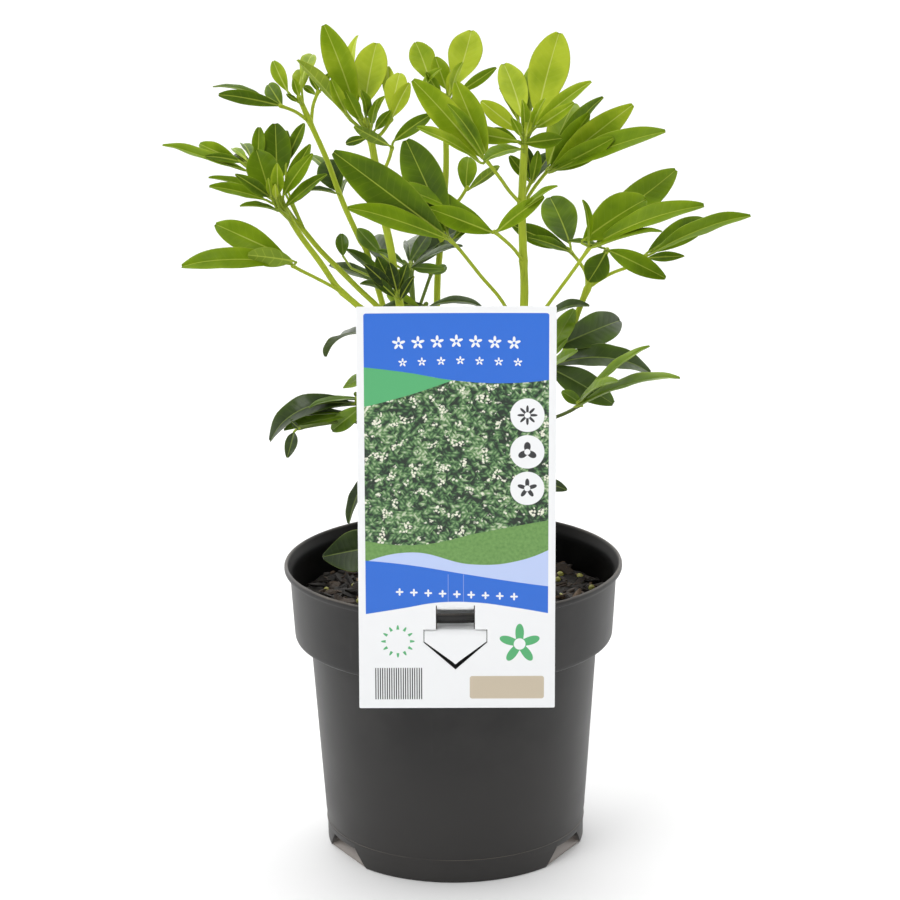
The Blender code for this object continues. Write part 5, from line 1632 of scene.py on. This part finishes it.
@dataclass
class HangLabel:
    """A card cut round its tongue, which bends over the lip and comes back through the slot.

    gap is the cut's clearance, soft how far the card's rim is rounded, and curl how far its sides
    and its top stand forward. Sizes are in mm.
    """

    pivot: Place = (1.2, -70.85, 119.0)
    lean: float = math.radians(4.0)
    turn: float = math.radians(0.4)
    half: float = 38.5
    above: float = 124.6
    below: float = 35.6
    thickness: float = 0.6
    corner: float = 0.5
    eye: Pair = (-0.6, -5.0)
    tongue_half: float = 7.25
    head_half: float = 12.2
    head_top: float = -4.0
    shoulder: float = -8.6
    tip: float = -17.7
    cut: float = 0.3
    tip_cut: float = 2.3
    gap: float = 0.4
    soft: float = 0.12
    curl: Pair = (0.9, 0.5)
    window_top: float = 6.0
    rows: int = 26

    def outline(self) -> Array:
        """The card's outline from its lower right corner round, with round corners."""
        arc = np.linspace(0.0, math.pi / 2, 6)
        corners = ((self.half, -self.below, -math.pi / 2), (self.half, self.above, 0.0),
                   (-self.half, self.above, math.pi / 2), (-self.half, -self.below, math.pi))
        points = []
        for x, z, start in corners:
            cx, cz = x - math.copysign(self.corner, x), z - math.copysign(self.corner, z)
            points += [(cx + self.corner * math.cos(start + a),
                        cz + self.corner * math.sin(start + a)) for a in arc]
        return np.array(points)

    def window(self) -> Array:
        """The cut round the tongue and the head, round from the right."""
        x, top = self.eye[0], self.head_top + self.cut
        left, right = x - self.tongue_half - self.gap, x + self.tongue_half + self.gap
        out, foot = self.head_half + self.cut, self.shoulder - self.gap
        return np.array([(x + out, foot), (x + out, top), (right, top), (right, self.window_top),
                         (left, self.window_top), (left, top), (x - out, top), (x - out, foot),
                         (x, self.tip - self.tip_cut)])

    def polar(self, outline: Array, angles: Array) -> Array:
        """How far an outline lies from the eye at angles, along straight runs between its points.

        Args:
            outline: its points in mm.
            angles: in radians, from 0 to 2 pi.

        Returns:
            The points of the outline at those angles.
        """
        away = outline - np.array(self.eye)
        turns = np.arctan2(away[:, 1], away[:, 0]) % (2 * math.pi)
        order = np.argsort(turns)
        away, turns = away[order], turns[order]
        after = np.searchsorted(turns, angles, side="right") % len(turns)
        a, b = away[after - 1], away[after]
        ray = np.stack((np.cos(angles), np.sin(angles)), axis=-1)
        run = b - a
        distance = ((a[:, 0] * run[:, 1] - a[:, 1] * run[:, 0])
                    / (ray[:, 0] * run[:, 1] - ray[:, 1] * run[:, 0]))
        return ray * distance[:, None] + np.array(self.eye)

    def angles(self) -> Array:
        """Angles round the eye: even ones, and every corner of both outlines from just each side."""
        sets = [np.linspace(0.0, 2 * math.pi, 140, endpoint=False)]
        for outline in (self.outline(), self.window()):
            away = outline - np.array(self.eye)
            turns = np.arctan2(away[:, 1], away[:, 0]) % (2 * math.pi)
            sets += [turns - 1e-4, turns + 1e-4]
        return np.unique(np.round(np.concatenate(sets) % (2 * math.pi), 6))

    def bow(self, x: Array, z: Array) -> Array:
        """How far the card stands forward: its sides curl a little, and more so higher up."""
        sides = -self.curl[0] * (x / self.half) ** 2 * ease((z + 10.0) / 120.0)
        return sides - self.curl[1] * (z / self.above) ** 2 * (z > 0)

    def placed(self, local: Array) -> Array:
        """Turns points of the card's own frame about the pivot and sets them there."""
        cos_a, sin_a = math.cos(-self.lean), math.sin(-self.lean)
        x, y, z = local[..., 0], local[..., 1], local[..., 2]
        y, z = cos_a * y - sin_a * z, sin_a * y + cos_a * z
        cos_b, sin_b = math.cos(self.turn), math.sin(self.turn)
        x, z = cos_b * x + sin_b * z, -sin_b * x + cos_b * z
        return np.stack((x, y, z), axis=-1) + np.array(self.pivot)

    def card(self) -> Shell:
        """The card between window and outline: straight rays from the eye, front and back faces.

        A ring across the wall runs out over the front and back over the rear, so the surface closes
        on itself both ways.
        """
        angles = self.angles()
        inner, outer = self.polar(self.window(), angles), self.polar(self.outline(), angles)
        share = ease(np.linspace(0.0, 1.0, self.rows)) * 0.4 + np.linspace(0.0, 1.0, self.rows) * 0.6
        flat = inner[:, None] * (1 - share)[None, :, None] + outer[:, None] * share[None, :, None]
        edge = np.ones(self.rows)
        edge[[0, -1]] = 1.0 - self.soft / (self.thickness / 2)
        x, z = flat[..., 0], flat[..., 1]
        y = self.bow(x, z)
        front = np.stack((x, y - self.thickness / 2 * edge, z), axis=-1)
        back = np.stack((x, y + self.thickness / 2 * edge, z), axis=-1)
        ring = np.concatenate((front, back[:, ::-1]), axis=1)
        count, sides = ring.shape[:2]
        index = np.arange(count * sides).reshape(count, sides)
        around, beyond = np.roll(index, -1, axis=0), np.roll(index, -1, axis=1)
        corner = np.roll(beyond, -1, axis=0)
        quads = np.stack((index, beyond, corner, around), axis=-1).reshape(-1, 4)
        shell = Shell(self.placed(ring.reshape(-1, 3)), quads, np.zeros((0, 3), int))
        shell.uv = ring.reshape(-1, 3)[:, [0, 2]]
        front_side = np.concatenate((np.ones(self.rows), np.zeros(self.rows)))
        return shell.with_value("front", np.tile(front_side, count))

    def tongue(self) -> Shell:
        """The tongue and its head: a flat strip carried along the bend, as wide as the cut-out."""
        bend = smooth_route(np.array([
            (0.0, 6.3), (0.0, 5.8), (1.2, 4.4), (3.4, 3.7), (5.6, 2.7), (6.7, 0.3), (6.5, -2.2), (4.8, -3.6),
            (2.6, -4.0), (1.0, -4.3), (0.1, -5.6), (0.0, -7.0), (0.0, self.shoulder)]), 0.45)
        last = np.array([(0.0, z) for z in np.linspace(self.shoulder, self.tip, 12)[1:]])
        line = np.vstack((bend, last))
        run = len(bend) - int(np.argmin(np.abs(bend[::-1, 1] - self.head_top)
                                        + 5 * np.abs(bend[::-1, 0] - 1.6)))
        half = np.full(len(line), self.tongue_half)
        half[run:] = self.head_half
        taper = (line[:, 1] - self.tip) / (self.shoulder - self.tip)
        half[len(bend):] = self.head_half * np.maximum(taper[len(bend):], 0.02)
        line = np.insert(line, run, line[run] - (line[run] - line[run - 1]) * 0.02, axis=0)
        half = np.insert(half, run, self.tongue_half)
        ahead = unit(np.gradient(line, axis=0))
        normal = np.stack((-ahead[:, 1], ahead[:, 0]), axis=-1)
        v = np.linspace(-1.0, 1.0, 9)
        x = self.eye[0] + half[:, None] * v
        thick = (self.thickness / 2 - 0.03) * np.where(np.abs(v) > 0.99, 0.6, 1.0)
        sheets = []
        for sign in (1.0, -1.0):
            y = line[:, None, 0] + sign * normal[:, None, 0] * thick
            z = line[:, None, 1] + sign * normal[:, None, 1] * thick
            sheets.append(np.stack((x, y, z), axis=-1))
        ring = np.concatenate((sheets[0], sheets[1][:, ::-1]), axis=1)
        shell = lofted(ring[None])
        if signed_volume(shell) < 0:
            shell.quads, shell.triangles = shell.quads[:, ::-1], shell.triangles[:, ::-1]
        shell.uv = np.zeros((len(shell.points), 2))
        shell.points = self.placed(shell.points)
        return shell.with_value("front", 0.0)

    def build(self, finish: Material) -> Piece:
        """The piece: card and tongue."""
        card = self.card()
        if signed_volume(card) < 0:
            card.quads = card.quads[:, ::-1]
        return mesh_object("hang_label", [card, self.tongue()], [finish], Smooth.CREASED)


def signed_volume(shell: Shell) -> float:
    """Volume inside a shell, less than 0 where its faces point inwards."""
    fans = np.vstack((shell.quads[:, [0, 1, 2]], shell.quads[:, [0, 2, 3]], shell.triangles))
    a, b, c = (shell.points[fans[:, i]] for i in range(3))
    return float((a * np.cross(b, c)).sum() / 6)


# ---------------------------------------------------------------- studio


@dataclass
class Studio:
    """A plain pale floor, a sky that is bright behind the plant and dim before it, and soft lamps."""

    floor_half: float = 9.0
    low: float = 1.2
    before: float = 0.25
    behind: float = 2.1

    def lamp(self, name: str, place: Place, size: float, power: float) -> None:
        """A square lamp at a place in metres, turned to the plant's middle.

        Args:
            name: of the lamp.
            place: where it stands.
            size: of its side in metres.
            power: in watts.
        """
        light = bpy.data.lights.new(name, "AREA")
        light.shape, light.size, light.energy = "SQUARE", size, power
        made = bpy.data.objects.new(name, light)
        back = unit(np.array(place) - np.array((0.0, 0.0, 0.18)))
        right = unit(np.cross((0.0, 0.0, 1.0), back))
        basis = np.eye(4)
        basis[:3, 0], basis[:3, 1], basis[:3, 2], basis[:3, 3] = right, np.cross(back, right), back, place
        made.matrix_world = Matrix(basis.tolist())
        bpy.context.scene.collection.objects.link(made)

    def build(self) -> Piece:
        """Builds floor, sky and lamps, and returns the floor."""
        h = self.floor_half
        mesh = bpy.data.meshes.new("floor")
        mesh.from_pydata([(-h, -h, 0), (h, -h, 0), (h, h, 0), (-h, h, 0)], [], [(0, 1, 2, 3)])
        mesh.materials.append(PlainFinish("floor", (0.90, 0.90, 0.90), 0.7).build())
        floor = bpy.data.objects.new("floor", mesh)
        bpy.context.scene.collection.objects.link(floor)
        world = bpy.data.worlds.new("studio")
        world.use_nodes = True
        nodes = Nodes(world.node_tree)
        direction = nodes.add("ShaderNodeTexCoord").outputs["Generated"]
        _, backward, up = nodes.add("ShaderNodeSeparateXYZ", {0: direction}).outputs
        sky = world.node_tree.nodes["Background"].inputs
        sky["Color"].default_value = (1.0, 1.0, 1.0, 1.0)
        share = nodes.step(backward, -0.5, 0.5)
        above = nodes.scaled(share, self.behind - self.before, self.before)
        away = nodes.minus(above, self.low)
        nodes.feed(sky["Strength"], nodes.scaled(nodes.step(up, 0.03, 0.12), away, self.low))
        bpy.context.scene.world = world
        bpy.context.scene.view_settings.view_transform = "Standard"
        self.lamp("key", (-0.9, -1.2, 1.7), 0.9, 18.0)
        self.lamp("fill", (1.4, -1.0, 0.9), 1.2, 3.0)
        return floor


def main() -> None:
    """Builds every piece in order, rides it on the frame and reports it."""
    logging.basicConfig(level=logging.INFO, format="%(name)s: %(message)s")
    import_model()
    VIEW.place_camera()
    veins = vein_group()
    young, old = YOUNG_LEAF.build(veins), OLD_LEAF.build(veins)
    young_bark = BarkFinish("young bark").build()
    old_bark = BarkFinish("old bark", lower=(0.060, 0.085, 0.022), upper=(0.150, 0.210, 0.040)).build()
    foliage = Foliage()
    for seed, stem in enumerate(STEMS):
        fresh = stem.name.startswith("stem")
        piece = foliage.build(stem, [young, young_bark] if fresh else [old, old_bark], 100 + seed)
        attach(piece, "root")
        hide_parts(stem.name)
        LOG.info("%s: %d faces", piece.name, len(piece.data.polygons))
    back = foliage.build_back_shoot(BackShoot(), [old, old_bark])
    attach(back, "root")
    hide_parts("shoot_back")
    pot = NurseryPot().build(PotFinish().build())
    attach(pot, "root")
    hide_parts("pot")
    LOG.info("%s: %d faces", pot.name, len(pot.data.polygons))
    crumbs = SoilFinish("potting mix", ((0.0, (0.003, 0.002, 0.0015)), (0.5, (0.012, 0.008, 0.005)),
                                        (1.0, (0.045, 0.029, 0.018)))).build()
    bark = SoilFinish("bark chips", ((0.0, (0.004, 0.0023, 0.0013)), (0.45, (0.016, 0.009, 0.005)),
                                     (0.8, (0.048, 0.027, 0.014)), (1.0, (0.140, 0.085, 0.042))), 0.75, 0.5,
                      1500.0).build()
    bead = PlainFinish("feed beads", (0.300, 0.290, 0.060), 0.35).build()
    for piece in PottingMix().build([crumbs, bark, bead]):
        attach(piece, "root")
        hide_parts("potting_mix")
        LOG.info("%s: %d faces", piece.name, len(piece.data.polygons))
    label = HangLabel().build(PrintFinish().build())
    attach(label, "root")
    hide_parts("label")
    LOG.info("%s: %d faces", label.name, len(label.data.polygons))
    Studio().build()


if __name__ == "__main__":
    main()
